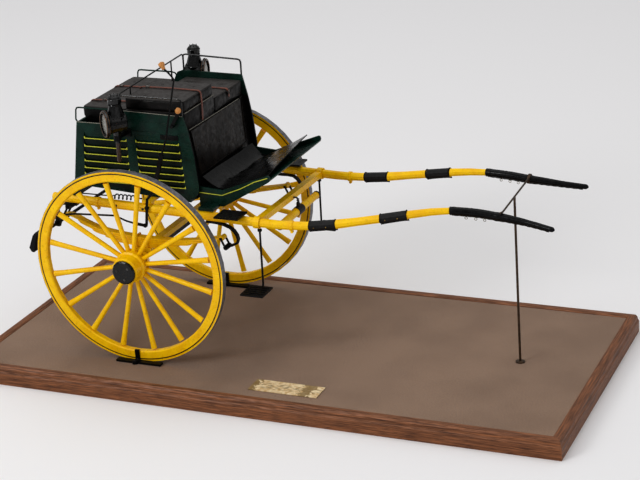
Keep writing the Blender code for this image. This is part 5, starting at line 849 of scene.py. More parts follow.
class CART_OT_finishes(bpy.types.Operator):
    """Give every solid that stays its finish"""

    bl_idname = "cart.finishes"
    bl_label = "Finishes"

    def execute(self, context):
        yellow = yellow_enamel()
        iron = black_paint("black_iron", 0.42)
        gloss = black_paint("black_gloss", 0.24, shine=0.4)
        hide = leather("plate_leather")
        for made, nodes in (
                (cloth(), ("base_panel",)),
                (mahogany(), ("base_moulding",)),
                (self.plaque(), ("plaque",)),
                (metal("bronzed_rod", "33271F", "54412F", 0.42, 0.6), ("prop_stand",)),
                (yellow, ("axle_bed", "body_bearer")),
                (green_enamel(), ("body_floor", "tailboard", "footboard")),
                (hide, ("seat_board", "front_panel")),
                (gloss, ("seat_rail",)),
                (iron, ("axle", "brake_rod", "brake_beam", "return_spring"))):
            for node in nodes:
                cad_material(node, made)
        for side_name, _ in SIDES:
            cad_material(side_name + "_nave", yellow)
            cad_material(side_name + "_hub_cap", gloss)
            cad_material(side_name + "_body_side", self.louvred(side_name))
            for node in ("wheel_clip", "front_hanger", "rear_hanger", "hanging_step", "lamp_bracket"):
                cad_material(side_name + "_" + node, iron)
            cad_material(side_name + "_step_plate", hide)
        self.shafts()
        self.levers()
        self.swingletree()
        self.crossbar()
        return {"FINISHED"}

    def louvred(self, side_name):
        """Green enamel, nearly black in the shade of the louvres and black on the edge beside the apron."""
        made = green_enamel(side_name + "_side_enamel")
        x, y, z = axes(made, CART)
        fields = put(made, "Math", [within(made, x, *span) for span in LOUVRE_FIELDS], operation="ADD")
        shaded = put(made, "Math", (fields, within(made, z, *LOUVRE_SHADE)), operation="MULTIPLY")
        overlay(made, put(made, "Math", (shaded, 0.7), operation="MULTIPLY"), "020504", 0.4)
        inside = within(made, y, BLACK_EDGE_INSET - BODY_HALF, BODY_HALF - BLACK_EDGE_INSET)
        forward = put(made, "Math", (x, BLACK_EDGE_X * MM), operation="GREATER_THAN")
        low = put(made, "Math", (z, BLACK_EDGE_TOP * MM), operation="LESS_THAN")
        edge = put(made, "Math", (forward, low), operation="MULTIPLY")
        overlay(made, put(made, "Math", (inside, edge), operation="MULTIPLY"), "0A0B0B", 0.45)
        return made

    def shafts(self):
        """Yellow shafts with black leather sleeves, and a black post and pin on the near one."""
        for side_name, side in SIDES:
            made = yellow_enamel(side_name + "_shaft_paint")
            x, _, z = axes(made, CART)
            sleeves = put(made, "Math", [within(made, x, *span) for span in SLEEVE_SPANS], operation="ADD")
            overlay(made, sleeves, flecked(made, place_of(made), 3, "0B0B0C", "1B191A", 4), 0.5)
            if side < 0:
                raised = put(made, "Math", (z, POST_FOOT * MM), operation="GREATER_THAN")
                post = put(made, "Math", (within(made, x, *POST_SPAN), raised), operation="MULTIPLY")
                pin = put(made, "Math", (far_from(made, *PIN_PLACE), PIN_REACH * MM), operation="LESS_THAN")
                overlay(made, put(made, "Math", (post, pin), operation="MAXIMUM"), "131314", 0.4)
            cad_material(side_name + "_shaft", made)

    def plaque(self):
        """Pale worn brass with dark streaks along its middle and its lacquer left brown near both ends."""
        made = metal("plaque_brass", "CFAE7C", "F2DFB9", 0.5, 0.1, 4)
        brass = sockets(made)["Base Color"].links[0].from_socket
        x, y, _ = axes(made, at(*PLAQUE_PLACE))
        ragged = put(made, "Math", (x, speckle(made, place_of(made), 4, 5, most=9 * MM)), operation="ADD")
        left = put(made, "Math", (ragged, PLAQUE_BROWN_END * MM), operation="LESS_THAN")
        brown = put(made, "Math", (within(made, ragged, *PLAQUE_BROWN), left), operation="ADD")
        lacquer = put(made, "Math", (brown, 0.8), operation="MULTIPLY")
        streak = speckle(made, place_of(made, (0.25, 1, 1)), 1.6, 5, 0.5, 0.62, most=0.7)
        worn = put(made, "Math", (streak, within(made, y, *PLAQUE_STREAKS)), operation="MULTIPLY")
        tone = put(made, "Mix", {0: worn, 6: brass, 7: "6B5430"}, 2, data_type="RGBA")
        return paint(made, put(made, "Mix", {0: lacquer, 6: tone, 7: "7E6330"}, 2, data_type="RGBA"))

    def levers(self):
        """Black levers with boxwood knobs."""
        for node, centre, reach in KNOBS:
            made = black_paint(node + "_paint", 0.42)
            knob = put(made, "Math", (far_from(made, *centre), reach * MM), operation="LESS_THAN")
            overlay(made, knob, boxwood(made), 0.42)
            cad_material(node, made)

    def swingletree(self):
        """A yellow bar with black caps, sleeve and eye."""
        made = yellow_enamel("swingletree_paint")
        _, y, _ = axes(made, CART)
        sleeve = within(made, y, -SWINGLE_SLEEVE, SWINGLE_SLEEVE)
        across = put(made, "Math", (y,), operation="ABSOLUTE")
        caps = put(made, "Math", (across, SWINGLE_CAPS * MM), operation="GREATER_THAN")
        overlay(made, put(made, "Math", (sleeve, caps), operation="MAXIMUM"), "161514", 0.45)
        cad_material("swingletree", made)

    def crossbar(self):
        """A yellow bar with a black hook in its middle."""
        made = yellow_enamel("crossbar_paint")
        x, y, _ = axes(made, CART)
        forward = put(made, "Math", (x, HOOK_X * MM), operation="GREATER_THAN")
        hook = put(made, "Math", (within(made, y, -HOOK_HALF, HOOK_HALF), forward), operation="MULTIPLY")
        overlay(made, hook, "141414", 0.4)
        cad_material("front_crossbar", made)


class CART_OT_wheels(bpy.types.Operator):
    """Make rounded spokes, line the felloes and put screws in the hub caps"""

    bl_idname = "cart.wheels"
    bl_label = "Wheels"

    def execute(self, context):
        yellow = yellow_enamel("spoke_enamel")
        steel = metal("screw_steel", "6A6866", "3A3938", 0.4, 0.8)
        for side_name, side in SIDES:
            body = side_name + "_wheel"
            place = wheel_place(side)
            self.felloe(side_name, side)
            spokes = self.spokes(side_name + "_turned_spokes", place)
            fit(spokes, body, yellow, 50, (side_name + "_spokes",))
            fit(self.screws(side_name + "_cap_screws", place), body, steel, 40)
        return {"FINISHED"}

    def felloe(self, side_name, side):
        """Yellow to the edge of the iron tyre, with one black line near it."""
        made = yellow_enamel(side_name + "_felloe_paint")
        overlay(made, within(made, wheel_radius(made, side), *LINE_RADII), "15120D", 0.4)
        cad_material(side_name + "_felloe", made)
        made = yellow_enamel(side_name + "_tyre_paint")
        tread = put(made, "Math", (wheel_radius(made, side), TREAD_RADIUS * MM), operation="GREATER_THAN")
        iron = flecked(made, place_of(made), 4, "66656A", "8C8B8F", 5)
        overlay(made, tread, iron, 0.42, 0.55)
        cad_material(side_name + "_tyre", made)

    def spokes(self, name, place):
        """One oval spoke, swelling towards the felloe, copied round the ring of mitred feet."""
        start()
        low, high = SPOKE_RADII
        bpy.ops.mesh.primitive_cylinder_add(vertices=14, radius=1, depth=high - low, end_fill_type="NGON")
        spoke = named("spoke")
        bpy.ops.object.mode_set(mode="EDIT")
        bpy.ops.mesh.select_all(action="SELECT")
        form = bmesh.from_edit_mesh(spoke.data)
        uprights = [edge for edge in form.edges if abs(edge.verts[0].co.z - edge.verts[1].co.z) > 1]
        bmesh.ops.subdivide_edges(form, edges=uprights, cuts=7)
        bmesh.update_edit_mesh(spoke.data)
        bpy.ops.object.mode_set(mode="OBJECT")
        narrow, wide = SPOKE_HALF_WIDTH
        thick, thin = SPOKE_HALF_THICKNESS
        flare_start, flare = SPOKE_FLARE
        for vert in spoke.data.vertices:
            share = min(1, max(0, vert.co.z / (high - low) + 0.5))
            width = narrow + (wide - narrow) * share ** 1.5
            width += flare * max(0, share - flare_start) / (1 - flare_start)
            depth = thick + (thin - thick) * share
            reach = low + (high - low) * share
            vert.co = Vector((vert.co.x * width, SPOKE_PLANE * (1 - share) + vert.co.y * depth, -reach)) * MM
        places = []
        for k in range(SPOKE_COUNT):
            angle = WHEEL_PHASE + math.tau * (k + 0.5) / SPOKE_COUNT
            places.append(place @ Matrix.Rotation(-angle, 4, "Y"))
        arms = repeat("arms", spoke, places)
        hub = turned("feet", FEET_PROFILE, place @ Matrix.Rotation(-math.pi / 2, 4, "X"), 48)
        return join(name, [arms, hub])

    def screws(self, name, place):
        """Three cheese-head screws with a slot, let into the face of the hub cap."""
        places = []
        for angle in CAP_SCREW_ANGLES:
            turn = math.radians(angle)
            spot = Vector((math.cos(turn), 0, math.sin(turn))) * CAP_SCREW_RADIUS
            spot.y = CAP_FACE - CAP_SCREW_SINK
            places.append(place @ Matrix.Translation(spot * MM) @ Matrix.Rotation(-math.pi / 2, 4, "X"))
        head = turned("head", CAP_SCREW_PROFILE, None, 16)
        slot = slab("slot", *(Vector(corner) * MM for corner in CAP_SCREW_SLOT))
        use(head, "BOOLEAN", object=slot, operation="DIFFERENCE", solver="EXACT")
        bpy.data.objects.remove(slot)
        return repeat(name, head, places)


class CART_OT_springs(bpy.types.Operator):
    """Make the leaf springs from separate leaves with scroll eyes"""

    bl_idname = "cart.springs"
    bl_label = "Springs"

    def execute(self, context):
        yellow = yellow_enamel("spring_enamel")
        for side_name, side in SIDES:
            leaves = [self.leaf(side, k) for k in range(len(LEAF_REAR))]
            spring = join(side_name + "_leaf_spring", leaves + self.eyes(side))
            fit(spring, "cart", yellow, 35, (side_name + "_spring",))
        return {"FINISHED"}

    def leaf(self, side, k):
        """One leaf, counted from the top; all but the top one narrow at their ends."""
        rear, front = LEAF_REAR[k], LEAF_FRONT[k]
        drop = k * LEAF_THICKNESS
        end_length, end_loss = LEAF_END

        def place(s, t):
            x = -rear + (front + rear) * s
            end = min(s, 1 - s) * (front + rear)
            loss = end_loss * max(0, 1 - end / end_length) ** 2 if k else 0
            half = SPRING_WIDTH / 2 - (LEAF_STEP * k + loss)
            return at(x, side * SPRING_GAUGE + (t - 0.5) * 2 * half, curved(SPRING_TOP, x)[1] - drop)

        leaf, _ = draped("leaf", 40, 2, place, LEAF_THICKNESS - LEAF_GAP, -1.0)
        return soften(leaf, 0.3, 1, 60)

    def eyes(self, side):
        """A rolled scroll at each end of the top leaf."""
        flat = Matrix.Rotation(math.pi / 2, 4, "X")
        return [turned("eye", EYE_PROFILE, Matrix.Translation(at(x, side * SPRING_GAUGE, z)) @ flat, 24)
                for x, z in SPRING_EYES]


class CART_OT_lining(bpy.types.Operator):
    """Paint the lime lining on the louvres and the footboard, and the beads on the seat panels"""

    bl_idname = "cart.lining"
    bl_label = "Lining"

    def execute(self, context):
        lime = new_finish("lime_lining", 0.4)
        tone = tuple(context.scene.cart_looks.lining)
        paint(lime, flecked(lime, place_of(lime), 2.2, tone, "4A5320", 4, 0.6, 0.74, 0.6))
        green = green_enamel("bead_enamel")
        for side_name, side in SIDES:
            lips = join(side_name + "_louvre_lining", self.louvres(side))
            fit(lips, "cart", lime, 30)
            line = [at(x, side * (CHEEK_HALF + 0.05), z) for x, z in CHEEK_LINE]
            fit(wire(side_name + "_cheek_lining", line, CHEEK_WIRE), "cart", lime, 60)
            fit(self.beads(side_name + "_seat_beads", side), "cart", green, 60)
        return {"FINISHED"}

    def louvres(self, side):
        """A painted line on each louvre's lip, from the top down, with a point at both ends."""
        pieces = []
        level = LOUVRE_TOP
        last = LOUVRE_TOP - sum(LOUVRE_PITCH - LOUVRE_LOSS * k for k in range(LOUVRE_COUNT - 1))
        y0, y1 = sorted(side * (BODY_HALF + depth) for depth in LINING_DEPTH)
        for k in range(LOUVRE_COUNT):
            share = (LOUVRE_TOP - level) / (LOUVRE_TOP - last)
            z0, z1 = (level + height for height in LINING_HEIGHT)
            for (top_left, top_right), (low_left, low_right) in (REAR_FIELD, FRONT_FIELD):
                left = top_left + (low_left - top_left) * share
                right = top_right + (low_right - top_right) * share
                pieces.append(slab("lip", at(left, y0, z0), at(right, y1, z1), 0.15))
                for x, lean in ((left, 1), (right, -1)):
                    pieces.append(self.corner(x, lean, y0, y1, z1 - 0.2))
            level -= LOUVRE_PITCH - LOUVRE_LOSS * k
        return pieces

    def corner(self, x, lean, low, high, z):
        """The painted point that rises at each end of a louvre."""
        start()
        bpy.ops.mesh.primitive_cylinder_add(vertices=3, radius=1, depth=1)
        piece = named("corner")
        heads = sorted({(round(v.co.x, 3), round(v.co.y, 3)) for v in piece.data.vertices})
        for vert in piece.data.vertices:
            a, b = LINING_POINT[heads.index((round(vert.co.x, 3), round(vert.co.y, 3)))]
            vert.co = at(x + lean * a, low if vert.co.z < 0 else high, z + b)
        return outward(piece)

    def beads(self, name, side):
        """Thin raised beads that frame the panel beside the seat."""
        face = side * (BODY_HALF + 0.05)
        pieces = []
        for row, far_rise in BEAD_ROWS:
            rise = far_rise if side > 0 else 0
            pieces.append(wire("bead", [at(x, face, z + rise) for x, z in row], BEAD_WIRE, resolution=2))
        return join(name, pieces)


class CART_OT_cushions(bpy.types.Operator):
    """Stuff and button the three cushions, and cover the driver's riser"""

    bl_idname = "cart.cushions"
    bl_label = "Cushions"

    def execute(self, context):
        looks = context.scene.cart_looks
        # The cushions' upward faces get a strong painted sheen towards pale grey, partly a dusty film
        hide = leather("cushion_leather", roughness=0.4, dust_and_sheen=0.62)
        for name, node, corners, buttons, heel in (
                ("driver_seat_cushion", "driver_cushion", DRIVER_BOX, DRIVER_BUTTONS, None),
                ("passenger_seat_cushion", "passenger_cushion", PASSENGER_BOX, PASSENGER_BUTTONS, None),
                ("rear_seat_cushion", "rear_cushion", REAR_BOX, REAR_BUTTONS, REAR_HEEL)):
            cushion = self.stuffed(name, corners, buttons, heel, looks)
            fit(cushion, "cart", hide, 60, (node,))
        riser = self.riser("driver_riser_cover")
        fit(riser, "cart", hide, 50, ("driver_riser",))
        return {"FINISHED"}

    def stuffed(self, name, corners, buttons, heel, looks):
        """A box cover blown up a little, drawn in at its edges, buttoned, and piped round its top."""
        low, high = Vector(corners[0]), Vector(corners[1])
        middle, half = (low + high) / 2, (high - low) / 2
        piece = slab(name, at(*(low + COVER_INSET)), at(*(high - COVER_INSET)), COVER_ROUNDING)
        use(piece, "REMESH", mode="VOXEL", voxel_size=looks.voxel)
        cover = [vert.co.copy() for vert in piece.data.vertices]
        self.blow(piece)
        crown = looks.cushion_crown / MM
        depth = looks.button_depth / MM
        for vert, was in zip(piece.data.vertices, cover):
            moved = vert.co - was
            if moved.length > looks.swell:
                moved = moved.normalized() * looks.swell
            spot = (was + moved - CART) / MM
            u, v, w = (((was[i] - CART[i]) / MM - middle[i]) / half[i] for i in range(3))
            room = (1 - min(1, abs(u)) ** 4) * (1 - min(1, abs(v)) ** 4)
            if w > 0.7:
                waves = math.sin(spot.x * 0.31 + spot.y * 0.17) * math.sin(spot.y * 0.23)
                spot.z = high.z - COVER_INSET.z + crown * room + CREASE_DEPTH * waves * room
                for x, y in buttons:
                    spot.z -= swell(math.hypot(spot.x - x, spot.y - y), 0, depth, BUTTON_REACH)
            elif w < -0.7:
                spot.z = low.z
            spot.x = min(max(spot.x, low.x), high.x)
            spot.y = min(max(spot.y, low.y), high.y)
            if heel and spot.z < heel[1]:
                spot.x = max(spot.x, heel[0])
            vert.co = at(*spot)
        use(piece, "SMOOTH", factor=0.5, iterations=2)
        use(piece, "SUBSURF", levels=1, render_levels=1)
        pieces = [piece, wire("welt", self.rim(middle, half, high.z - WELT_DROP), WELT_WIRE, True, 2)]
        for x, y in buttons:
            spot = Matrix.Translation(at(x, y, high.z + crown - depth - 0.1))
            pieces.append(turned("button", BUTTON_PROFILE, spot, 14))
        return join(name, pieces)

    def blow(self, piece):
        """Swell the cover with a cloth simulation under a light pressure."""
        pick(piece)
        cover = piece.modifiers.new("cover", "CLOTH")
        cover.settings.use_pressure = True
        cover.settings.uniform_pressure_force = COVER_PRESSURE
        cover.settings.effector_weights.gravity = 0
        cover.point_cache.frame_start = 1
        cover.point_cache.frame_end = COVER_FRAMES
        for step in range(1, COVER_FRAMES + 1):
            bpy.context.scene.frame_set(step)
        pick(piece)
        bpy.ops.object.modifier_apply(modifier=cover.name)
        bpy.context.scene.frame_set(1)

    def rim(self, middle, half, level):
        """The line of the piping, drawn in a little between the corners."""
        line = []
        power = WELT_SQUARENESS
        for k in range(WELT_STEPS):
            angle = math.tau * (k + 0.5) / WELT_STEPS
            c, s = math.cos(angle), math.sin(angle)
            reach = 1 / (abs(c) ** power + abs(s) ** power) ** (1 / power)
            line.append(at(middle.x + (half.x - WELT_INSET) * c * reach,
                           middle.y + (half.y - WELT_INSET) * s * reach, level))
        return line

    def riser(self, name):
        """A leather-covered box with a stitched welt along its top and along its front's foot."""
        (x0, y0, z0), (x1, y1, z1) = RISER_BOX
        cover = slab("cover", at(x0, y0, z0), at(x1, y1, z1), RISER_ROUNDING)
        left, right, rear, front = y0 + WELT_INSET, y1 - WELT_INSET, x0 + WELT_INSET, x1 - WELT_INSET
        top = [at(x, y, z1 - RISER_WELT_DROP)
               for x, y in ((rear, left), (front, left), (front, right), (rear, right))]
        foot = [at(front, y, z0 + RISER_WELT_DROP) for y in (left, right)]
        return join(name, [cover, wire("welt", top, RISER_WELT_WIRE, True, 2),
                           wire("welt", foot, RISER_WELT_WIRE, resolution=2)])


class CART_OT_lamps(bpy.types.Operator):
    """Finish the lamps and add their bands, bosses, crowns and bezels"""

    bl_idname = "cart.lamps"
    bl_label = "Lamps"

    def execute(self, context):
        gloss = black_paint("lamp_japan", 0.16, shine=0.5)
        copper = metal("bezel_copper", "33261C", "6B5442", 0.3, 0.8)
        for side_name, stem, level, bearing in LAMPS:
            self.japan(side_name)
            self.glass(side_name, stem, level)
            body = side_name + "_lamp"
            upright = Matrix.Translation(at(*stem, level))
            facing = upright @ Matrix.Rotation(bearing, 4, "Z") @ Matrix.Rotation(math.pi / 2, 4, "Y")
            trim = [*self.bands(upright, STEM_BANDS), *self.bands(facing, DRUM_BANDS),
                    turned("boss", BOSS_PROFILE, facing, 20), self.crown(upright)]
            fit(join(side_name + "_lamp_trim", trim), body, gloss, 40)
            bezel = join(side_name + "_lamp_bezel", self.bands(facing, BEZEL_BANDS, 48))
            fit(bezel, body, copper, 60)
        return {"FINISHED"}

    def japan(self, side_name):
        """Black japan, with a brown candle tube below the drum."""
        made = black_paint(side_name + "_lamp_paint", 0.16, shine=0.5)
        _, _, z = axes(made, CART)
        tube = put(made, "Math", (z, CANDLE_TOP * MM), operation="LESS_THAN")
        overlay(made, tube, flecked(made, place_of(made), 3, "2E211A", "49372C"), 0.45)
        cad_material(side_name + "_lamp_body", made)

    def glass(self, side_name, stem, level):
        """A silvered lens: grey in its middle, darker towards the bezel, with faint rings."""
        made = new_finish(side_name + "_lens_glass", 0.12, 0.35)
        inner, outer = LENS_FADE
        fade = put(made, "MapRange", {"Value": far_from(made, *stem, level), "From Min": inner * MM,
                                      "From Max": outer * MM})
        where = place_of(made)
        tone = flecked(made, where, 4, "8A877F", "B4B0A6")
        tone = put(made, "Mix", {0: fade, 6: tone, 7: "23211F"}, 2, data_type="RGBA")
        cad_material(side_name + "_lamp_lens", paint(made, tone, None, speckle(made, where, 3), 0.1))

    def bands(self, place, rows, steps=24):
        """Rings of wire round one line, at their distances along it."""
        return [ring("band", place @ Matrix.Translation((0, 0, along * MM)), radius, thick, steps)
                for along, radius, thick in rows]

    def crown(self, upright):
        """The ring of points on top of the chimney."""
        point = turned("point", CROWN_PROFILE, None, 8)
        out = Matrix.Translation(CROWN_PLACE * MM)
        places = [upright @ Matrix.Rotation(math.tau * k / CROWN_COUNT, 4, "Z") @ out
                  for k in range(CROWN_COUNT)]
        return repeat("crown", point, places)


class CART_OT_shaft_leather(bpy.types.Operator):
    """Sew the sheaths on the shaft tips, with their rings, and trim the leather sleeves"""

    bl_idname = "cart.shaft_leather"
    bl_label = "Shaft leather"

    def execute(self, context):
        size = context.scene.cart_looks.stud_radius / MM
        hide = leather("sheath_leather", "060607", "0F0F11", "24211F", 0.7, 0.3)
        brass = metal("stud_brass", "B79454", "7E6334", 0.35)
        nickel = metal("ring_nickel", "B9B2A4", "6E675B", 0.3)
        for side_name, side in SIDES:
            sheath = self.sheath(side_name + "_sewn_sheath", side)
            fit(sheath, "cart", hide, 50, (side_name + "_tip_sheath",))
            fit(self.trims(side_name + "_sleeve_trims", side), "cart", hide, 50)
            fit(self.studs(side_name + "_sleeve_studs", side, size), "cart", brass, 60)
            fit(self.rings(side_name + "_rein_rings", side), "cart", nickel, 60)
        return {"FINISHED"}

    def frame_at(self, x, side):
        """The shaft's place at x, with local X along it and local Z up."""
        centre, radius = shaft_at(x, side)
        along = (shaft_at(x + 1, side)[0] - shaft_at(x - 1, side)[0]).normalized()
        across = Vector((0, 0, 1)).cross(along).normalized()
        upward = along.cross(across)
        turn = Matrix((along, across, upward)).transposed().to_4x4()
        return Matrix.Translation(at(*centre)) @ turn, radius

    def below(self, x, side, depth):
        """A point of the shaft's underside at x, lower by a depth."""
        place, radius = self.frame_at(x, side)
        return place @ (Vector((0, 0, -(radius + depth))) * MM)

    def sheath(self, name, side):
        """A tube drawn along the shaft, thicker at its mouth, with a scalloped seam sewn below it."""
        span = SHEATH_END - SHEATH_START
        start()
        bpy.ops.mesh.primitive_cylinder_add(vertices=20, radius=1, depth=1)
        tube = named(name)
        form = bmesh.new()
        form.from_mesh(tube.data)
        uprights = [edge for edge in form.edges if abs(edge.verts[0].co.z - edge.verts[1].co.z) > 0.5]
        bmesh.ops.subdivide_edges(form, edges=uprights, cuts=59)
        for vert in form.verts:
            x = SHEATH_START + span * (vert.co.z + 0.5)
            place, radius = self.frame_at(min(x, SHEATH_END - 2), side)
            mouth = swell(x, SHEATH_START + 1, KEEPER_RISE, MOUTH_REACH)
            keepers = sum(swell(x, middle, KEEPER_RISE, KEEPER_REACH) for middle in SHEATH_KEEPERS)
            tip = max(0.0, 1 - (SHEATH_END - x) / SHEATH_END_ROUNDING)
            out = (radius + SHEATH_WALL - 0.3 + mouth + keepers) * math.sqrt(max(0.05, 1 - 0.9 * tip * tip))
            out += 0.08 * math.sin(x * 1.7) * math.sin(x * 0.41 + vert.co.x)
            spot = Vector((max(0, x - SHEATH_END + 2), vert.co.x * out, vert.co.y * out))
            vert.co = place @ (spot * MM)
        form.to_mesh(tube.data)
        form.free()
        outward(tube)

        def seam(s, t):
            x = SHEATH_START + 2 + (span - 8) * s
            depth = SEAM_DEPTH + SEAM_SCALLOP * abs(math.sin(x * 0.42)) + swell(x, SHEATH_KEEPERS[1], 0.5, 5)
            return self.below(x, side, 0.2 + depth * t)

        flap, _ = draped("seam", 90, 2, seam, 0.7, 0.0)
        places = []
        for k in range(STITCH_COUNT):
            place, radius = self.frame_at(SHEATH_START + 4 + k * STITCH_PITCH, side)
            places.append(place @ Matrix.Translation((0, 0, -(radius + 1.5) * MM)))
        stitch = slab("stitch", *(Vector(corner) * MM for corner in STITCH_BOX))
        return join(name, [tube, flap, repeat("stitches", stitch, places)])

    def trims(self, name, side):
        """Raised welts at the ends of each sleeve, and the sewn edge along its underside."""
        pieces = []
        for low, high in SLEEVE_SPANS:
            for x in (low + SLEEVE_WELT_INSET, high - SLEEVE_WELT_INSET):
                place, radius = self.frame_at(x, side)
                turn = place @ Matrix.Rotation(math.pi / 2, 4, "Y")
                pieces.append(ring("welt", turn, radius + SLEEVE_WELT_RISE, SLEEVE_WELT_WIRE, 20))

            def seam(s, t, low=low, high=high):
                x = low - 0.6 + (high - low + 1.2) * s
                return self.below(x, side, 0.3 + (1.2 + 0.7 * (2 * s - 1) ** 4) * t)

            pieces.append(draped("seam", 24, 2, seam, 0.8, 0.0)[0])
        return join(name, pieces)

    def studs(self, name, side, size):
        """Two round-headed studs on the outer side of each sleeve."""
        stud = turned("stud", ((size, -0.3), (size, 0.1), (size * 0.8, 0.4), (size * 0.35, 0.6)), None, 12)
        places = []
        for low, _ in SLEEVE_SPANS:
            for offset in STUD_OFFSETS:
                place, radius = self.frame_at(low + offset, side)
                lean = Matrix.Rotation(-side * STUD_LEAN, 4, "X")
                places.append(place @ lean @ Matrix.Translation((0, 0, (radius + 0.7) * MM)))
        return repeat(name, stud, places)

    def rings(self, name, side):
        """Three small rings that hang in staples under the sheath."""
        pieces = []
        for x in RING_PLACES:
            place, radius = self.frame_at(x, side)
            for kind, (drop, size, thick), axis, steps in (("ring", REIN_RING, "X", 20),
                                                           ("staple", REIN_STAPLE, "Y", 12)):
                low = place @ Matrix.Translation((0, 0, -(radius + drop) * MM))
                pieces.append(ring(kind, low @ Matrix.Rotation(math.pi / 2, 4, axis), size, thick, steps))
        return join(name, pieces)


class CART_OT_leather(bpy.types.Operator):
    """Hang the apron below the seat and bend the mat into the footboard"""

    bl_idname = "cart.leather"
    bl_label = "Apron and mat"

    def execute(self, context):
        worn = self.apron_hide()
        apron, area = draped("seat_apron", 44, 30, self.apron_point, APRON_THICKNESS, -1.0)
        fit(apron, "cart", worn, 60, ("front_apron",))
        s0, t0 = BINDING_INSET
        edge = [self.apron_point(s, t) + BINDING_OUT * MM
                for s, t in ((s0, t0), (s0, 1 - t0), (1 - s0, 1 - t0), (1 - s0, t0))]
        welt = fit(wire("apron_binding", edge, BINDING_WIRE, True), "cart", worn, 60)
        gloss = leather("mat_leather", "050505", "0B0B0B", "1D1B1A", 1.4, 0.24)
        mat, area = draped("foot_mat", 44, 44, self.mat_point, MAT_THICKNESS, 1.0)
        fit(mat, "cart", gloss, 60, ("floor_mat",))
        return {"FINISHED"}

    def apron_hide(self):
        """Brown-black hide with long drips and rubbed streaks running down it."""
        made = leather("apron_leather", "0B0907", "17120F", "30261F", 1.0, 0.38)
        streak = speckle(made, place_of(made, (1, 1, 0.12)), 2.2, 5, 0.5, 0.72, most=0.55)
        overlay(made, streak, "33291F", 0.45)
        return made

    def apron_point(self, s, t):
        """A point of the apron, s across it and t down it, lying over the leaning panel with soft waves."""
        half, z = (top + (foot - top) * t for top, foot in zip(APRON_TOP, APRON_FOOT))
        across = -1 + 2 * s
        ease = 0.35 * math.sin(across * 5) * math.sin(math.pi * t) + 0.15 * math.sin(across * 17 + 2 * t) * t
        panel = FRONT_TOP_X + (FRONT_FOOT_X - FRONT_TOP_X) * (FRONT_TOP_Z - z) / FRONT_HEIGHT
        return at(panel + APRON_OUT + ease, across * half, z)

    def mat_point(self, s, t):
        """A point of the mat, s from heel to toe and t from near to far, kept above the tray's floor."""
        across = -1 + 2 * t
        x = MAT_HEEL_X + (MAT_TOE_X - MAT_TOE_SLANT * (across + 1) - MAT_HEEL_X) * s
        half = MAT_HALF + MAT_SPREAD * max(0, across) * s
        near, far = curved(MAT_NEAR, x)[1], curved(MAT_FAR, x)[1]
        rumple = sum(height * math.sin(across * wide + x * along) * max(0, 1 - abs(x - middle) / reach)
                     for height, wide, along, middle, reach in MAT_RUMPLES)
        z = near + (far - near) * t + rumple
        return at(x, across * half, max(z, between(TRAY_FLOOR, x)[1] + MAT_CLEARANCE))


class CART_OT_straps(bpy.types.Operator):
    """Lay the reddish straps and their buckles over the cushions"""

    bl_idname = "cart.straps"
    bl_label = "Straps"

    def execute(self, context):
        looks = context.scene.cart_looks
        hide = new_finish("strap_leather", 0.5)
        where = place_of(hide)
        tone = flecked(hide, where, 5, tuple(looks.strap_tone), "7A4534", 4)
        tone = flecked(hide, where, 1.2, tone, "3A1D15", 4, 0.6, 0.75)
        paint(hide, tone, None, speckle(hide, where, 0.7), 0.08)
        steel = metal("buckle_steel", "8B8A86", "4A4642", 0.35)
        half = looks.strap_width / MM / 2
        thickness = looks.strap_thickness / MM
        straps, buckles = [], []
        for path, y, share in STRAPS:
            straps.append(self.strap(path, y, half, thickness))
            buckles.append(self.buckle(path, y, share, half, thickness))
        fit(join("seat_straps", straps), "cart", hide, 50)
        fit(join("strap_buckles", buckles), "cart", steel, 50)
        return {"FINISHED"}

    def sway(self, y, share):
        """How far a strap lies off its line at a share of its path."""
        return STRAP_SWAY * math.sin(7 * share + y)

    def strap(self, path, y, half, thickness):
        """One strap along a path of (x, height) points, rounded at its bends."""

        def place(s, t):
            x, z = self.along(path, s)
            return at(x, y + (2 * t - 1) * half + self.sway(y, s), z)

        return draped("strap", 60, 2, place, thickness, 1.0)[0]

    def along(self, path, share):
        """The point at a share of a path's length."""
        spans = [math.dist(a, b) for a, b in zip(path, path[1:])]
        left = share * sum(spans)
        for a, b, span in zip(path, path[1:], spans):
            if left <= span or b is path[-1]:
                part = min(1, left / span)
                return a[0] + (b[0] - a[0]) * part, a[1] + (b[1] - a[1]) * part
            left -= span
        return path[-1]

    def buckle(self, path, y, share, half, thickness):
        """A square wire buckle with a tongue, lying on its strap."""
        x, z = self.along(path, share)
        x1, z1 = self.along(path, min(1, share + 0.02))
        along = Vector((x1 - x, 0, z1 - z)).normalized()
        over = along.cross(Vector((0, 1, 0)))
        if over.z < 0 or (abs(over.z) < 0.2 and over.x < 0):
            over = -over
        centre = Vector((x, y + self.sway(y, share), z)) + over * (thickness + 0.15)
        corners = [centre + along * a * BUCKLE_HALF + Vector((0, b * (half + 0.5), 0))
                   for a, b in ((-1, -1), (1, -1), (1, 1), (-1, 1))]
        loop = wire("loop", [at(*corner) for corner in corners], BUCKLE_WIRE, True, 2)
        pin = [at(*(centre + along * a * BUCKLE_TONGUE + over * 0.3)) for a in (-1, 1)]
        return join("buckle", [loop, wire("tongue", pin, TONGUE_WIRE, resolution=2)])


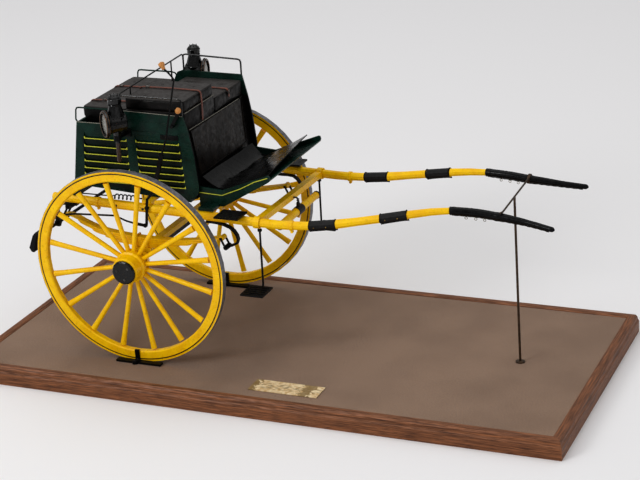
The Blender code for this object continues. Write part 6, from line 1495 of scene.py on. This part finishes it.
class CART_OT_fittings(bpy.types.Operator):
    """Add the small fittings: the staple plate, chain links, hinges, bolt heads, and pale edge lines of
    painted highlight and wear
    """

    bl_idname = "cart.fittings"
    bl_label = "Fittings"

    def execute(self, context):
        iron = black_paint("fitting_iron", 0.38, "5A5651")
        steel = metal("worn_steel", "77736B", "3C3935", 0.4, 0.8)
        fit(self.staple("lever_staple_plate"), "cart", iron, 40)
        fit(self.links("hook_links"), "cart", iron, 60)
        fit(self.bolts("shaft_bolts"), "cart", steel, 40)
        fit(self.hinges("tailboard_hinges"), "cart", iron, 40)
        # Pale wires along the edges: painted highlights, partly rubbed paint
        edges = []
        for row in EDGE_HIGHLIGHTS_AND_WEAR:
            edges.append(wire("edge", [at(*point) for point in row], EDGE_HIGHLIGHT_RADIUS, resolution=2))
        fit(join("edge_highlights_and_wear", edges), "cart", highlight_and_rub_paint("edge_highlight_and_rub"), 60)
        return {"FINISHED"}

    def staple(self, name):
        """The hand lever's plate with its two screws, on the near side of the body."""
        (x0, z0), (x1, z1) = STAPLE_PLATE
        face = -BODY_HALF
        plate = slab("plate", at(x0, face - STAPLE_OUT, z0), at(x1, face - 0.05, z1), 0.35)
        out = Matrix.Rotation(math.pi / 2, 4, "X")
        spots = [Matrix.Translation(at(x, face - STAPLE_OUT, z)) @ out for x, z in STAPLE_SCREWS]
        return join(name, [plate, repeat("screws", turned("screw", STAPLE_SCREW_PROFILE, None, 14), spots)])

    def links(self, name):
        """The chain on the hook, its links leaning by turns."""
        pieces = []
        for k, z in enumerate(LINK_HEIGHTS):
            lean = Matrix.Rotation(LINK_LEAN, 4, "Y") if k % 2 else Matrix.Rotation(-LINK_LEAN, 4, "X")
            place = Matrix.Translation(at(LINK_X, 0, z)) @ lean
            pieces.append(ring("link", place, LINK_RADIUS, LINK_WIRE, 16))
        return join(name, pieces)

    def bolts(self, name):
        """Round bolt heads on the outer faces of the shafts."""
        places = []
        for _, side in SIDES:
            out = Matrix.Rotation(-side * math.pi / 2, 4, "X")
            for x in BOLT_PLACES:
                centre, radius = shaft_at(x, side)
                spot = at(centre.x, side * (abs(centre.y) + radius), centre.z)
                places.append(Matrix.Translation(spot) @ out)
        return repeat(name, turned("head", BOLT_PROFILE, None, 12), places)

    def hinges(self, name):
        """The knuckles of the hinges at the foot of the tailboard."""
        x, z = HINGE_LINE
        profile = ((HINGE_RADIUS, 0), (HINGE_RADIUS, HINGE_LENGTH))
        flat = Matrix.Rotation(-math.pi / 2, 4, "X")
        places = [Matrix.Translation(at(x, y - HINGE_LENGTH / 2, z)) @ flat for y in HINGE_PLACES]
        return join(name, [turned("knuckle", profile, place, 14) for place in places])


class CART_PT_panel(bpy.types.Panel):
    """Lists the cart's pieces and their sizes"""

    bl_idname = "CART_PT_panel"
    bl_label = "Cart"
    bl_space_type = "VIEW_3D"
    bl_region_type = "UI"
    bl_category = "Cart"

    def draw(self, context):
        looks = context.scene.cart_looks
        for key in CartLooks.__annotations__:
            self.layout.prop(looks, key)
        for operator in OPERATORS:
            self.layout.operator(operator.bl_idname)


OPERATORS = (CART_OT_stage, CART_OT_finishes, CART_OT_wheels, CART_OT_springs, CART_OT_lining,
             CART_OT_cushions, CART_OT_lamps, CART_OT_shaft_leather, CART_OT_leather, CART_OT_straps,
             CART_OT_fittings)


def register():
    for kind in (CartLooks, *OPERATORS, CART_PT_panel):
        bpy.utils.register_class(kind)
    bpy.types.Scene.cart_looks = bpy.props.PointerProperty(type=CartLooks)


def unregister():
    del bpy.types.Scene.cart_looks
    for kind in reversed((CartLooks, *OPERATORS, CART_PT_panel)):
        bpy.utils.unregister_class(kind)


def main():
    """Register the add-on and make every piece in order."""
    register()
    for make in (bpy.ops.cart.stage, bpy.ops.cart.finishes, bpy.ops.cart.wheels, bpy.ops.cart.springs,
                 bpy.ops.cart.lining, bpy.ops.cart.cushions, bpy.ops.cart.lamps, bpy.ops.cart.shaft_leather,
                 bpy.ops.cart.leather, bpy.ops.cart.straps, bpy.ops.cart.fittings):
        make()
    start()


if __name__ == "__main__":
    main()
